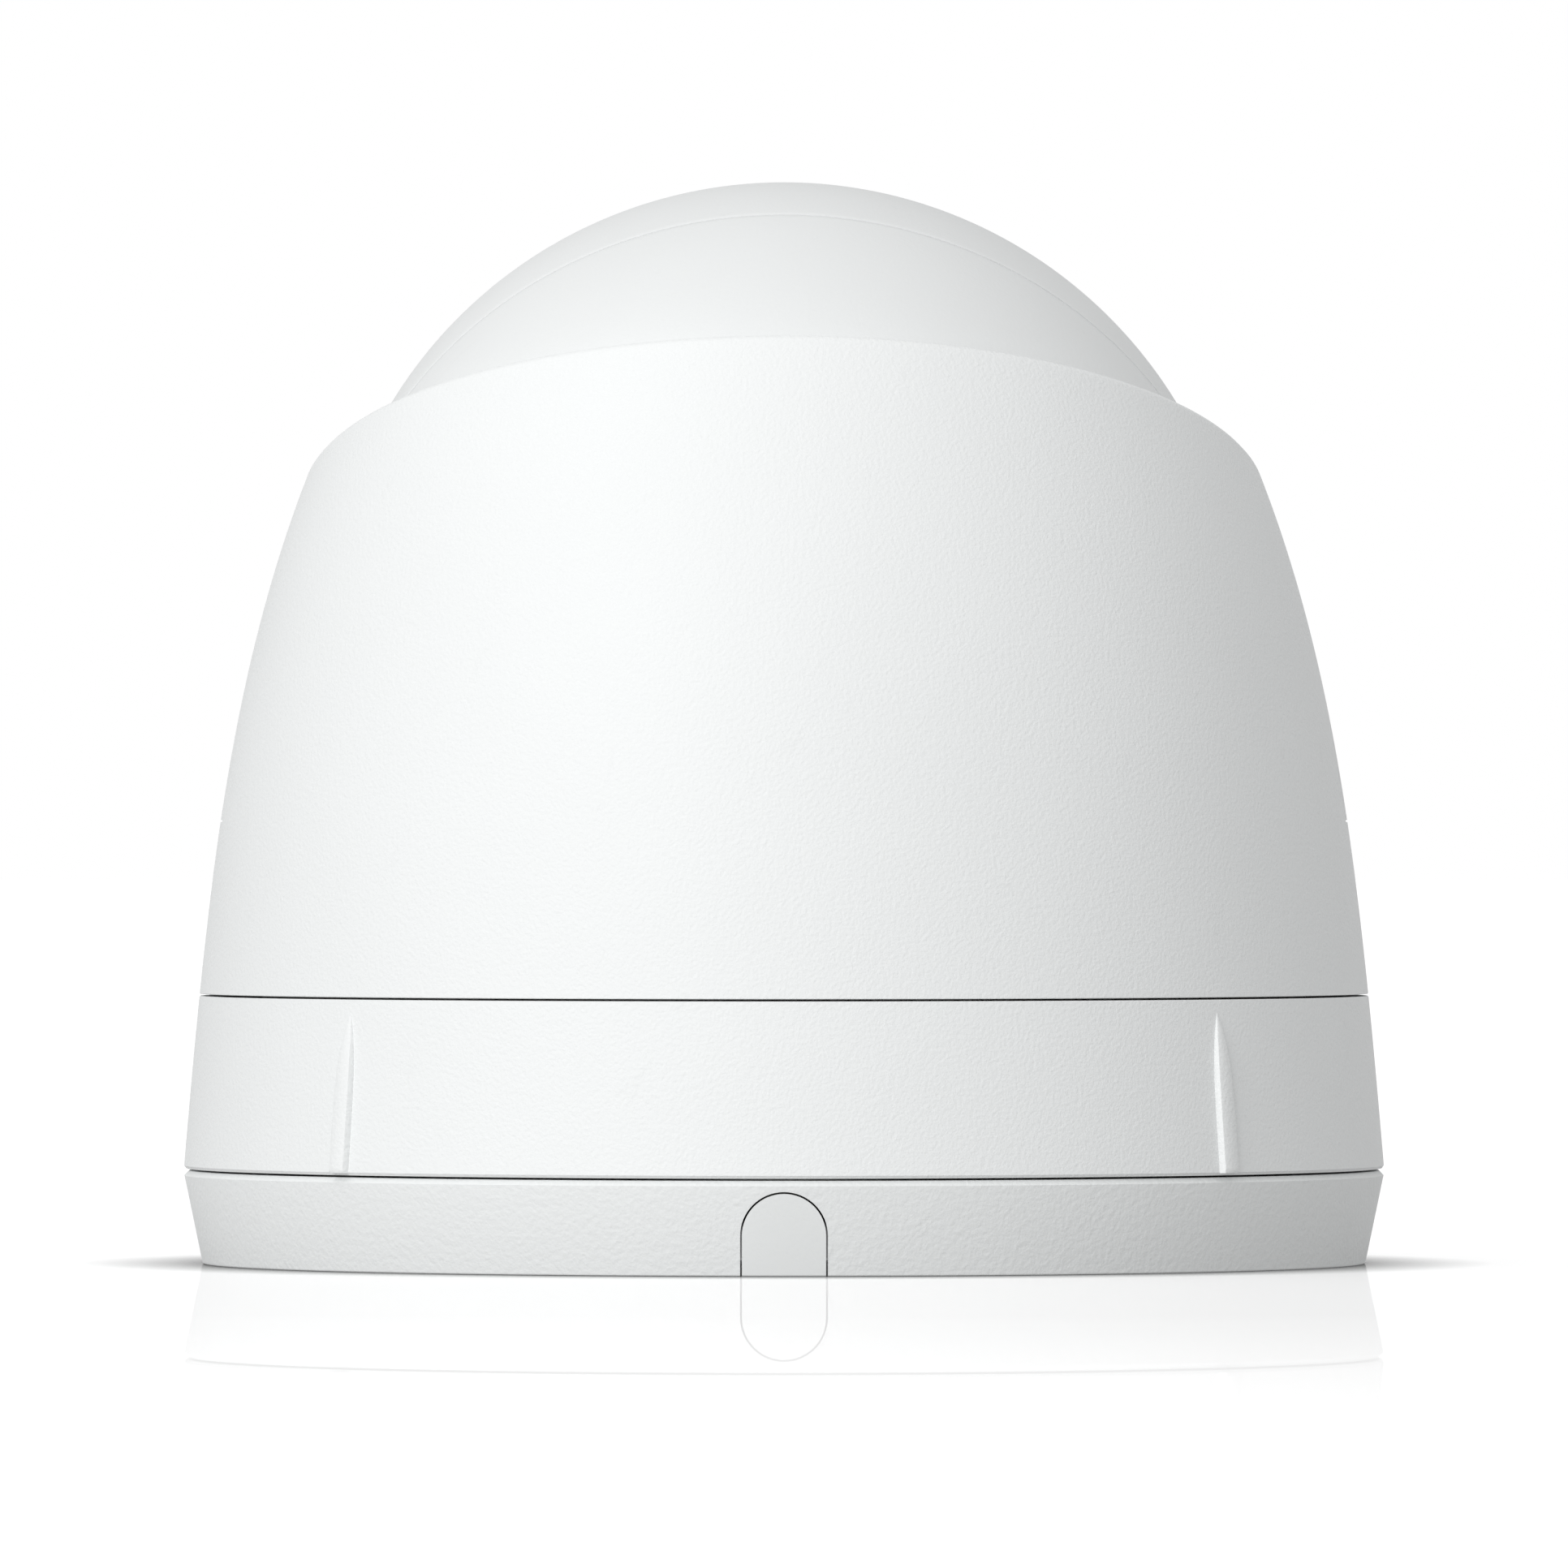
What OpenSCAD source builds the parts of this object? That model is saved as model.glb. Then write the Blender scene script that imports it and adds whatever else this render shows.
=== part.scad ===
// Compact turret security camera, standing on its mounting face.
// Origin at the centre of the mounting face, +Z away from the wall or ceiling.
// The cable entry faces -Y and the lens looks towards +Y, raised by lens_up.

/* [Mounting base] */
// Radius of the base on the mounting surface
base_foot_r = 41.2; // [40.8:0.1:41.4]
// Radius of the base where it meets the band
base_top_r = 42.5; // [42.2:0.1:42.6]
// Height of the base
base_h = 6.6; // [6.4:0.1:6.6]
// Radius of the circle of wall screw holes
screw_circle_r = 25; // [22:0.5:28]
// Radius of a wall screw hole
screw_hole_r = 2.25; // [1.8:0.05:2.6]
// Radius of the cable hole in the middle
cable_hole_r = 9; // [7:0.5:12]
// Width of the side cable entry
entry_w = 5.8; // [5:0.1:6]
// Height of the side cable entry
entry_h = 5.7; // [5:0.1:5.7]

/* [Band and shell] */
// Radius that the housing wall's outline starts from at the mounting face
skirt_r = 43.1; // [43:0.05:43.2]
// How far the outline leans in over its reference height
lean = 5; // [4.8:0.05:5.1]
// How far the outline's crown draws in over its reference height
crown = 6.1; // [6:0.05:6.2]
// Height of the seam between the band and the shell
band_top = 18.95; // [18.8:0.05:19.1]
// Width of the seams between the housing pieces
seam = 0.15; // [0.1:0.05:0.2]
// Thickness of the housing walls
wall = 2.2; // [2.1:0.05:2.3]
// Height of the oblique rim above the ball's axis of tilt
rim_mid_z = 55.9; // [55.6:0.1:56.2]
// Angle of the oblique rim, high at the back
rim_tilt = 17.5; // [16.5:0.5:18.5]
// Angle of each grip rib from the back or the front
rib_angle = 46.5; // [30:0.5:60]
// How far a grip rib stands out at its foot
rib_proud = 0.5; // [0.4:0.05:1]

/* [Ball] */
// Radius of the ball
ball_r = 32.6; // [32.4:0.05:32.7]
// Height of the ball's centre
ball_z = 44; // [43.8:0.1:44.2]
// Angle of the lens above the mounting plane
lens_up = 23; // [15:1:90]
// Thickness of the ball's wall
ball_wall = 2; // [1.8:0.1:2.1]
// Radius of the front window
window_r = 14.2; // [13.6:0.1:14.4]
// Number of infrared lamps around the lens
lamp_count = 6; // [4:1:8]

/* [Hidden] */

$fn = 96;
small_fn = 32;
cut = 0.05;             // how far a cutting solid passes a face
far = 60;               // half width of a solid that cuts right across

// Housing outline
outline_h = 60;         // reference height of the housing outline
crown_power = 3.66;
outline_step = 3;       // height between two points of the outline
outline_top = 69;
band_foot = base_h + seam;
shell_foot = band_top + seam;
rib_w = 1.6;
rib_foot = band_foot + 0.15;
rib_h = 11.1;
rib_steps = 6;
rib_fade = 4.5; // power that its height falls off with towards the top

// Bayonet between the base and the band
lug_count = 3;
lug_angle = 22;         // width of a bayonet lug
twist_angle = 25;       // turn from locked to free
gap_angle = 26;         // width of the gap that a lug leaves by
lug_at = 30;            // angle of the first lug
post_in_r = 33.5;
post_r = 35.5;
lug_r = 37;
lug_foot = 8.2;
lug_top = 9.6;
bayonet_in_r = 35.9;
bayonet_top = 8;
floor_h = 2.6;
base_wall_in_r = 39.6;
base_chamfer = 0.35;
gasket_in_r = 36.2;
gasket_r = 39.8;
gasket_h = 1;
channel_w = 6.2;        // width of the cable channel in the base
cover_gap = 0.1;
cover_in_y = 39.1;      // how far from the axis the cover's inner face is

// Floor tray that closes the band below the ball
tray_in_r = 31.5;
tray_r = 33.1;
tray_foot = 7.3;
tray_floor_top = 8.6;
tray_rim_foot = 10.2;
tray_rim_top = 11.5;
tray_rim_r = 39.5;
boss_in_r = 37.3;
boss_foot = 8;
boss_angle = 12;
tray_screw_at = 38.3;
tray_screw_r = 0.8;
tray_screw_head_r = 1.5;
tray_screw_head_h = 0.9;
grommet_r = 5;
grommet_flange_r = 6.5;
grommet_flange_h = 0.5;
grommet_hole_r = 2.9;

// Swivel between the band and the shell
spigot_in_r = 35.2;
spigot_r = 37;
spigot_foot = 13.6;
barb_r = 38.4;
barb_top = 14.7;
shelf_foot = 14.9;
shelf_top = 16.3;
shelf_in_r = 37.05;
seal_in_r = 37.1;
seal_out_r = 39.1;
seal_top = 18.3;
finger_count = 8;
finger_slot_w = 3;
finger_slot_top = 18;
shell_floor_top = shell_foot + 1.6;

// Rim, trunnions and fascia
rim_lip = 1.8;          // thickness of the lip under the oblique rim
lip_gap = 0.4;
yoke_room = 0.4;
fascia_t = 1.1;
fascia_foot = 31.4;
fascia_back = -3.8;     // where the fascia's rear edge starts, along Y
fascia_knee = [-3, 38.4];
fascia_rim = [12, 54];
trunnion_face = 34.9;   // where the shell's inner bosses end, along X
trunnion_boss_r = 5.6;
trunnion_pocket_r = 5.2; // flat pocket that the yoke's eye and washer turn in
trunnion_r = 2.25;
trunnion_end = 36.1;
trunnion_start = 33.2;
running_gap = 0.05;

// Tilt yoke and roll hub
yoke_in_r = ball_r + 0.4;
yoke_r = 34.4;
yoke_w = 8;
yoke_eye_r = 4.6;
yoke_eye_in = 33.05;
hub_flat = 28.4;        // distance of the ball's rear flat from its centre
hub_r = 11;
hub_top = 29;
hub_foot = 32.2;
hub_seat = 30.8;
hub_seat_r = 8.5;
neck_r = 6;
neck_end = 33.2;
neck_bore_r = 4;
retainer_r = 8.2;
retainer_top = 31;
retainer_foot = 32.6;
roll_washer_r = 10;

// Ball halves
half_seam = 0.06;       // half the width of the seam between the ball's halves
ball_in_r = ball_r - ball_wall;
front_flat = 28.8;
window_t = 1.6;
window_sunk = 0.1;
window_gap = 0.1;
window_seat = front_flat - window_sunk - window_t;
gasket_t = 0.5;
gasket_bite = 1.6;
front_plate_back = window_seat - gasket_t - 1.6;
ball_screw_at = 23;
ball_screw_angles = [30, 150, 270];
ball_screw_r = 1.1;
ball_screw_head_r = 2.2;
ball_screw_head_z = -12.2;
ball_screw_head_h = 1.6;
ball_screw_end = 6;
ball_boss_r = 3.4;
ball_boss_top = 9;
ring_groove = [31.1, 31.9];
ring_groove_d = 0.9;
mic_hole_r = 0.35;
mic_hole_at = 14.75;

// Chassis and boards, placed along the lens axis from the ball's centre
chassis_z = [0.5, 2.5];
chassis_r = 18.5;
chassis_angles = [-28, 60, 120, 208];
chassis_screw_at = 24.5;
chassis_screw_r = 1;
chassis_ear_r = 2.6;
chassis_boss_top = 10;
main_board_z = [-6.6, -5];
main_board_r = 18;
post_count = 4;
post_at = 15;
board_post_r = 2;
chip_w = 12;
chip_top = -3.6;
pad_top = -2.6;
sensor_board_z = [5, 6.2];
sensor_board_w = 26;
sensor_post_at = 10.5;
sensor_post_r = 1.6;
board_screw_r = 0.8;
board_screw_head_r = 1.4;
board_screw_head_h = 1;
socket_size = [8, 5, 3];

// Lens and day and night filter
holder_w = 18;
holder_in_w = 16.2;
holder_roof = 11;
holder_top = 12.2;
holder_tube_r = 7.8;
holder_tube_top = 17;
lens_thread_r = 6;
lens_thread_end = 11.3;
lens_head_z = 19;
lens_head_r = 7.2;
lens_head_top = 24.4;
lens_bore_r = 4.2;
front_lens_r = 5.8;
front_lens_z = 20.4;
front_lens_top = 23.6;
rear_lens_z = [12, 14];
lock_ring_z = [17.05, 18.8];
lock_ring_r = 8;
filter_shift = 5;       // travel from the day filter to the night filter
filter_pane = [4.4, 5.4];
carrier_z = [9.3, 10.3];
carrier_edge = 0.6;
carrier_w = 7.2;
filter_frame_z = [8.2, 9];

// Lamp board
lamp_board_z = [20.8, 22];
lamp_board_r = 16.4;
lamp_board_hole_r = 8.2;
lamp_ring_r = 11.2;
lamp_w = 3;
lamp_base_h = 0.8;
lamp_dome_r = 1.3;
lamp_post_at = 14.6;
lamp_post_r = 1.3;
lamp_screw_angles = [0, 120, 240];
baffle_r = [7.4, 9];

// Service port in the ball, reached when the ball is tilted right up
port_polar = 62;        // angle of the port from the lens axis
port_r = 4.5;
port_half = 4.5;        // half the distance between the port's round ends
port_hole_r = 2.8;
port_hole_half = 2;
cover_in_r = 31.3;
service_seal_in_r = 30.9;
service_seal_w = 0.6;
port_screw_at = 6.9;
port_screw_r = 0.7;
port_screw_head_r = 1.2;
port_screw_head_z = 31.5;
port_boss_r = 1.8;
service_board_z = [22, 23];
switch_w = 3.5;
switch_top = 24.8;
button_r = 0.9;
button_z = [23.6, 26.6];

// Outline of the housing wall: its radius at height z
function wall_r(z) = skirt_r - lean * (z / outline_h) - crown * pow(z / outline_h, crown_power);

// Points of the wall outline, moved in by t
function wall_points(t) = [for (z = [0 : outline_step : outline_top]) [wall_r(z) - t, z]];

// Point of a curve from a to c that bends towards b
function bend(a, b, c, t) = (1 - t) * (1 - t) * a + 2 * t * (1 - t) * b + t * t * c;

// Frame of the ball: its centre, with +Z along the lens axis
module in_ball() {
  translate([0, 0, ball_z])
    rotate([lens_up - 90, 0, 0])
      children();
}

// Frame of the service port: the ball's frame, with +Z out through the port
module in_port() {
  in_ball()
    rotate([-port_polar, 0, 0])
      children();
}

// Ring or disc between two radii and two heights
module ring(r0, r1, z0, z1) {
  translate([0, 0, z0])
    difference() {
      cylinder(r = r1, h = z1 - z0);
      translate([0, 0, -cut])
        cylinder(r = r0, h = z1 - z0 + 2 * cut);
    }
}

// Disc between two heights
module disc(r, z0, z1, fn = 96) {
  translate([0, 0, z0])
    cylinder(r = r, h = z1 - z0, $fn = fn);
}

// Block centred on the axis between two heights
module block(w, d, z0, z1) {
  translate([-w / 2, -d / 2, z0])
    cube([w, d, z1 - z0]);
}

// Copies of the children at a radius, at each of the angles
module around(at, angles) {
  for (a = angles)
    rotate([0, 0, a])
      translate([at, 0, 0])
        children();
}

// Sector of a ring, centred on an angle
module sector(r0, r1, z0, z1, at, width) {
  rotate([0, 0, at - width / 2])
    translate([0, 0, z0])
      rotate_extrude(angle = width)
        translate([r0, 0])
          square([r1 - r0, z1 - z0]);
}

// Solid within the wall outline moved in by t, between two heights
module wall_solid(z0, z1, t) {
  intersection() {
    rotate_extrude()
      polygon(concat([[0, 0]], wall_points(t), [[0, outline_top]]));
    disc(far, z0, z1);
  }
}

// Everything above the oblique rim, lowered by d
module above_rim(d) {
  translate([0, 0, rim_mid_z])
    rotate([-rim_tilt, 0, 0])
      translate([-far, -far, -d])
        cube(2 * far);
}

// Screw with a cylinder head that starts at z0, and a shank that ends at z1
module screw(r, head_r, head_h, z0, z1) {
  up = z1 > z0;
  translate([0, 0, up ? z0 : z1])
    cylinder(r = r, h = abs(z1 - z0), $fn = small_fn);
  translate([0, 0, up ? z0 - head_h : z0])
    cylinder(r = head_r, h = head_h, $fn = small_fn);
}

// Slot outline with round ends
module slot_outline(r, half) {
  square([2 * half, 2 * r], center = true);
  for (s = [-1, 1])
    translate([s * half, 0])
      circle(r = r, $fn = small_fn);
}

// Arch outline of the cable entry, grown by g and open at its foot
module entry_outline(g) {
  arch_r = entry_w / 2;
  translate([0, entry_h - arch_r])
    circle(r = arch_r + g, $fn = small_fn);
  translate([-arch_r - g, -1])
    square([entry_w + 2 * g, entry_h - arch_r + 1]);
}

// Prism of the cable entry through the base's wall, grown by g
module entry_prism(g) {
  translate([0, -cover_in_y, 0])
    rotate([90, 0, 0])
      linear_extrude(height = 6)
        entry_outline(g);
}

// Tapered outside of the base
module base_outside() {
  rotate_extrude()
    polygon([
      [0, 0], [base_foot_r, 0], [base_top_r, base_h - base_chamfer],
      [base_top_r - base_chamfer, base_h], [0, base_h]
    ]);
}

module mount_base() {
  color([0.90, 0.91, 0.91])
    difference() {
      union() {
        difference() {
          base_outside();
          disc(base_wall_in_r, floor_h, base_h + cut);
        }
        ring(post_in_r, post_r, floor_h - cut, lug_top);
        for (i = [0 : lug_count - 1])
          sector(post_r - 0.5, lug_r, lug_foot, lug_top, lug_at + 360 / lug_count * i, lug_angle);
      }
      disc(cable_hole_r, -cut, floor_h + cut);
      around(screw_circle_r, [45, 135, 225, 315])
        disc(screw_hole_r, -cut, floor_h + cut, small_fn);
      ring(gasket_in_r, gasket_r, -cut, gasket_h);
      translate([-channel_w / 2, -cover_in_y, -cut])
        cube([channel_w, cover_in_y, entry_h + 2 * cut]);
      entry_prism(cover_gap);
    }
}

module base_gasket() {
  color([0.16, 0.16, 0.17])
    difference() {
      ring(gasket_in_r, gasket_r, 0, gasket_h);
      translate([-channel_w / 2, -base_top_r, -cut])
        cube([channel_w, base_top_r, gasket_h + 2 * cut]);
    }
}

module cable_entry_cover() {
  color([0.91, 0.92, 0.92])
    intersection() {
      base_outside();
      entry_prism(0);
    }
}

// One grip rib, fading into the wall at its top
module grip_rib() {
  rib_root = 1;
  rotate([90, 0, 0])
    linear_extrude(height = rib_w, center = true)
      polygon(concat(
        [[wall_r(rib_foot) - rib_root, rib_foot]],
        [for (i = [0 : rib_steps])
          let (u = sin(90 * i / rib_steps), z = rib_foot + rib_h * u)
          [wall_r(z) + rib_proud * (1 - pow(u, rib_fade)), z]],
        [[wall_r(rib_foot + rib_h) - rib_root, rib_foot + rib_h]]
      ));
}

module lower_band() {
  color([0.95, 0.96, 0.96])
    difference() {
      union() {
        difference() {
          wall_solid(band_foot, band_top, 0);
          wall_solid(band_foot - cut, band_top + cut, wall);
        }
        intersection() {
          wall_solid(band_foot, band_top, wall / 2);
          union() {
            ring(bayonet_in_r, base_top_r, band_foot, bayonet_top);
            ring(shelf_in_r, base_top_r, shelf_foot, shelf_top);
            for (i = [0 : lug_count - 1])
              sector(boss_in_r, base_top_r, boss_foot - cut, tray_rim_foot,
                lug_at + 60 + 360 / lug_count * i, boss_angle);
          }
        }
        for (side = [-90, 90], s = [-1, 1])
          rotate([0, 0, side + s * rib_angle])
            grip_rib();
      }
      for (i = [0 : lug_count - 1])
        sector(bayonet_in_r - 1, lug_r + 0.4, band_foot - cut, bayonet_top + cut,
          lug_at - twist_angle + 360 / lug_count * i, gap_angle);
      around(tray_screw_at, [lug_at + 60, lug_at + 180, lug_at + 300])
        disc(tray_screw_r, boss_foot + 0.4, tray_rim_foot + cut, small_fn);
    }
}

module floor_tray() {
  color([0.30, 0.31, 0.33])
    difference() {
      union() {
        ring(tray_in_r, tray_rim_r, tray_rim_foot, tray_rim_top);
        ring(tray_in_r, tray_r, tray_foot, tray_rim_foot + cut);
        ring(grommet_r, tray_r, tray_foot, tray_floor_top);
      }
      around(tray_screw_at, [lug_at + 60, lug_at + 180, lug_at + 300])
        disc(tray_screw_r, tray_rim_foot - cut, tray_rim_top + cut, small_fn);
    }
}

module tray_screws() {
  color("silver")
    around(tray_screw_at, [lug_at + 60, lug_at + 180, lug_at + 300])
      screw(tray_screw_r, tray_screw_head_r, tray_screw_head_h, tray_rim_top, boss_foot + 0.5);
}

module cable_grommet() {
  color([0.12, 0.12, 0.13])
    difference() {
      union() {
        disc(grommet_r, tray_foot - grommet_flange_h, tray_floor_top + grommet_flange_h);
        disc(grommet_flange_r, tray_foot - grommet_flange_h, tray_foot);
        disc(grommet_flange_r, tray_floor_top, tray_floor_top + grommet_flange_h);
      }
      disc(grommet_hole_r, 0, 20);
    }
}

module pan_seal() {
  color([0.12, 0.12, 0.13])
    ring(seal_in_r, seal_out_r, shelf_top, seal_top);
}

// Side view of the fascia, as heights over distances along Y, grown by g
module fascia_outline(g) {
  knee_in = [-3.2, 36];
  knee_out = [0.2, 42];
  curve = [for (i = [0 : 8]) bend(knee_in, fascia_knee, knee_out, i / 8)];
  polygon(concat(
    [[far, fascia_foot - g], [fascia_back - g, fascia_foot - g]],
    [for (p = curve) p + [-g, g / 2]],
    [fascia_rim + [-g, g], [fascia_rim[0] + 10, 90], [far, 90]]
  ));
}

// Everything outside the fascia's inner face, within its outline grown by g
module fascia_room(g) {
  difference() {
    rotate([90, 0, 90])
      linear_extrude(height = 2 * far, center = true)
        fascia_outline(g);
    wall_solid(0, outline_top, fascia_t);
  }
}

module shell() {
  color([0.96, 0.97, 0.97])
    difference() {
      union() {
        difference() {
          wall_solid(shell_foot, outline_top, 0);
          difference() {
            union() {
              wall_solid(shell_floor_top, outline_top - 4, wall);
              translate([0, 0, ball_z])
                sphere(r = yoke_r + yoke_room);
            }
            above_rim(rim_lip);
          }
        }
        intersection() {
          wall_solid(shell_floor_top, outline_top, wall / 2);
          for (s = [-90, 90])
            translate([0, 0, ball_z])
              rotate([0, s, 0])
                disc(trunnion_boss_r, trunnion_face, ball_z);
        }
        ring(spigot_in_r, spigot_r, spigot_foot, shell_foot + cut);
        ring(spigot_in_r, barb_r, spigot_foot, barb_top);
      }
      above_rim(0);
      translate([0, 0, ball_z])
        sphere(r = ball_r + lip_gap);
      disc(spigot_in_r, spigot_foot - cut, shell_floor_top + cut);
      for (s = [-90, 90])
        translate([0, 0, ball_z])
          rotate([0, s, 0]) {
            disc(trunnion_r + running_gap, trunnion_face - cut, trunnion_end + 0.1, small_fn);
            disc(trunnion_pocket_r, yoke_in_r, trunnion_face);
          }
      for (i = [0 : finger_count - 1])
        rotate([0, 0, 360 / finger_count * i])
          translate([spigot_in_r - 1, -finger_slot_w / 2, spigot_foot - cut])
            cube([barb_r - spigot_in_r + 2, finger_slot_w, finger_slot_top - spigot_foot]);
      fascia_room(seam);
    }
}

module front_fascia() {
  color([0.96, 0.97, 0.97])
    difference() {
      intersection() {
        wall_solid(0, outline_top, 0);
        fascia_room(0);
      }
      above_rim(0);
    }
}

module tilt_yoke() {
  color([0.62, 0.63, 0.65])
    in_ball()
      difference() {
        union() {
          intersection() {
            difference() {
              sphere(r = yoke_r);
              sphere(r = yoke_in_r);
            }
            translate([-far, -yoke_w / 2, -far])
              cube([2 * far, yoke_w, far]);
          }
          for (s = [-90, 90])
            rotate([0, s, 0])
              disc(yoke_eye_r, yoke_eye_in, yoke_r);
          intersection() {
            sphere(r = yoke_r);
            disc(hub_r, -hub_foot, -hub_top);
          }
        }
        disc(neck_r + running_gap, -yoke_r - 1, -hub_top + cut);
        disc(hub_seat_r, -yoke_r - 1, -hub_seat);
        for (s = [-90, 90])
          rotate([0, s, 0])
            disc(trunnion_r, trunnion_start, yoke_r + cut, small_fn);
      }
}

module trunnion_pins() {
  color("silver")
    in_ball()
      for (s = [-90, 90])
        rotate([0, s, 0])
          disc(trunnion_r, trunnion_start, trunnion_end, small_fn);
}

module tilt_washers() {
  washer_r = 4.4;
  washer_hole_r = 2.35;
  color([0.85, 0.83, 0.75])
    in_ball()
      for (s = [-90, 90])
        rotate([0, s, 0])
          ring(washer_hole_r, washer_r, yoke_r, trunnion_face - 0.1);
}

module roll_washer() {
  color([0.85, 0.83, 0.75])
    in_ball()
      ring(neck_r, roll_washer_r, -hub_top + 0.1, -hub_flat);
}

module roll_retainer() {
  color("silver")
    in_ball()
      ring(neck_r, retainer_r, -retainer_foot, -retainer_top);
}

// Screw boss inside a half of the ball, with a rib to the wall
module ball_boss(r, z0, z1) {
  disc(r, z0, z1, small_fn);
  translate([0, -1, z0])
    cube([10, 2, z1 - z0]);
}

module ball_rear() {
  color([0.94, 0.95, 0.95])
    in_ball()
      difference() {
        union() {
          intersection() {
            difference() {
              sphere(r = ball_r);
              difference() {
                sphere(r = ball_in_r);
                disc(far, -far, -hub_flat + ball_wall);
              }
            }
            disc(far, -hub_flat, -half_seam);
          }
          intersection() {
            sphere(r = ball_in_r + 0.5);
            around(ball_screw_at, ball_screw_angles)
              ball_boss(ball_boss_r, -hub_flat, -half_seam);
          }
          disc(neck_r, -neck_end, -hub_flat + cut);
        }
        disc(neck_bore_r, -far, -hub_flat + ball_wall + cut);
        around(ball_screw_at, ball_screw_angles) {
          disc(ball_screw_r, -far, cut, small_fn);
          disc(ball_screw_head_r + 0.1, -far, ball_screw_head_z, small_fn);
        }
        ring(ring_groove[0], ring_groove[1], -ring_groove_d, cut);
      }
}

module ball_front() {
  color([0.94, 0.95, 0.95])
    difference() {
      union() {
        in_ball()
          intersection() {
            difference() {
              sphere(r = ball_r);
              difference() {
                sphere(r = ball_in_r);
                disc(far, front_plate_back, far);
              }
            }
            disc(far, half_seam, front_flat);
          }
        in_ball()
          intersection() {
            sphere(r = ball_in_r + 0.5);
            union() {
              around(ball_screw_at, ball_screw_angles)
                ball_boss(ball_boss_r, half_seam, ball_boss_top);
              around(chassis_screw_at, chassis_angles)
                ball_boss(chassis_ear_r, chassis_z[1], chassis_boss_top);
            }
          }
        in_ball()
          around(lamp_post_at, lamp_screw_angles)
            disc(lamp_post_r, lamp_board_z[1], front_plate_back + cut, small_fn);
        in_port()
          for (s = [-1, 1])
            translate([s * port_screw_at, 0, 0])
              disc(port_boss_r, service_board_z[1], cover_in_r - 0.5, small_fn);
      }
      in_ball() {
        disc(window_r + window_gap, window_seat - gasket_t, far);
        disc(window_r - gasket_bite, front_plate_back - cut, far);
        around(ball_screw_at, ball_screw_angles)
          disc(ball_screw_r, 0, ball_screw_end, small_fn);
        around(chassis_screw_at, chassis_angles)
          disc(chassis_screw_r, 0, chassis_boss_top - 2, small_fn);
        around(lamp_post_at, lamp_screw_angles)
          disc(board_screw_r, 0, front_plate_back + 0.4, small_fn);
        around(mic_hole_at, [270])
          disc(mic_hole_r, front_plate_back - cut, far, small_fn);
      }
      in_port() {
        difference() {
          linear_extrude(height = far)
            slot_outline(port_r + window_gap, port_half);
          sphere(r = cover_in_r);
        }
        difference() {
          linear_extrude(height = far)
            slot_outline(port_hole_r + service_seal_w, port_hole_half);
          sphere(r = service_seal_in_r);
        }
        translate([0, 0, service_board_z[1] + 3])
          linear_extrude(height = 10)
            slot_outline(port_hole_r, port_hole_half);
        for (s = [-1, 1])
          translate([s * port_screw_at, 0, 0])
            disc(port_screw_r, service_board_z[1] + 1, far, small_fn);
      }
    }
}

module ball_seal() {
  color([0.12, 0.12, 0.13])
    in_ball()
      ring(ring_groove[0], ring_groove[1], -ring_groove_d, half_seam);
}

module ball_screws() {
  color("silver")
    in_ball()
      around(ball_screw_at, ball_screw_angles)
        screw(ball_screw_r, ball_screw_head_r, ball_screw_head_h, ball_screw_head_z, ball_screw_end - 0.2);
}

module front_window() {
  color([0.05, 0.05, 0.06])
    in_ball()
      disc(window_r, window_seat, front_flat - window_sunk);
}

module window_gasket() {
  color([0.12, 0.12, 0.13])
    in_ball()
      ring(window_r - gasket_bite, window_r, window_seat - gasket_t, window_seat);
}

module chassis_plate() {
  color([0.72, 0.73, 0.75])
    in_ball()
      difference() {
        union() {
          disc(chassis_r, chassis_z[0], chassis_z[1]);
          around(chassis_screw_at, chassis_angles) {
            disc(chassis_ear_r, chassis_z[0], chassis_z[1], small_fn);
            translate([-9, -chassis_ear_r, chassis_z[0]])
              cube([9, 2 * chassis_ear_r, chassis_z[1] - chassis_z[0]]);
          }
          around(post_at, [45, 135, 225, 315])
            disc(board_post_r, main_board_z[1], chassis_z[0] + cut, small_fn);
          for (x = [-1, 1], y = [-1, 1])
            translate([x * sensor_post_at, y * sensor_post_at, 0])
              disc(sensor_post_r, chassis_z[1] - cut, sensor_board_z[0], small_fn);
          block(chip_w, chip_w, pad_top, chassis_z[0] + cut);
        }
        around(chassis_screw_at, chassis_angles)
          disc(chassis_screw_r, -1, 4, small_fn);
        around(post_at, [45, 135, 225, 315])
          disc(board_screw_r, main_board_z[1] - cut, -1, small_fn);
        for (x = [-1, 1], y = [-1, 1])
          translate([x * sensor_post_at, y * sensor_post_at, 0])
            disc(board_screw_r, 1, sensor_board_z[0] + cut, small_fn);
      }
}

module chassis_screws() {
  color("silver")
    in_ball()
      around(chassis_screw_at, chassis_angles)
        screw(chassis_screw_r, 1.9, 1.3, chassis_z[0], chassis_boss_top - 2.2);
}

module main_board() {
  color([0.10, 0.35, 0.20])
    in_ball()
      difference() {
        disc(main_board_r, main_board_z[0], main_board_z[1]);
        around(post_at, [45, 135, 225, 315])
          disc(board_screw_r, -far, far, small_fn);
      }
}

module processor() {
  color([0.10, 0.10, 0.11])
    in_ball()
      block(chip_w, chip_w, main_board_z[1], chip_top);
}

module thermal_pad() {
  color([0.55, 0.60, 0.75])
    in_ball()
      block(chip_w, chip_w, chip_top, pad_top);
}

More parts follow.
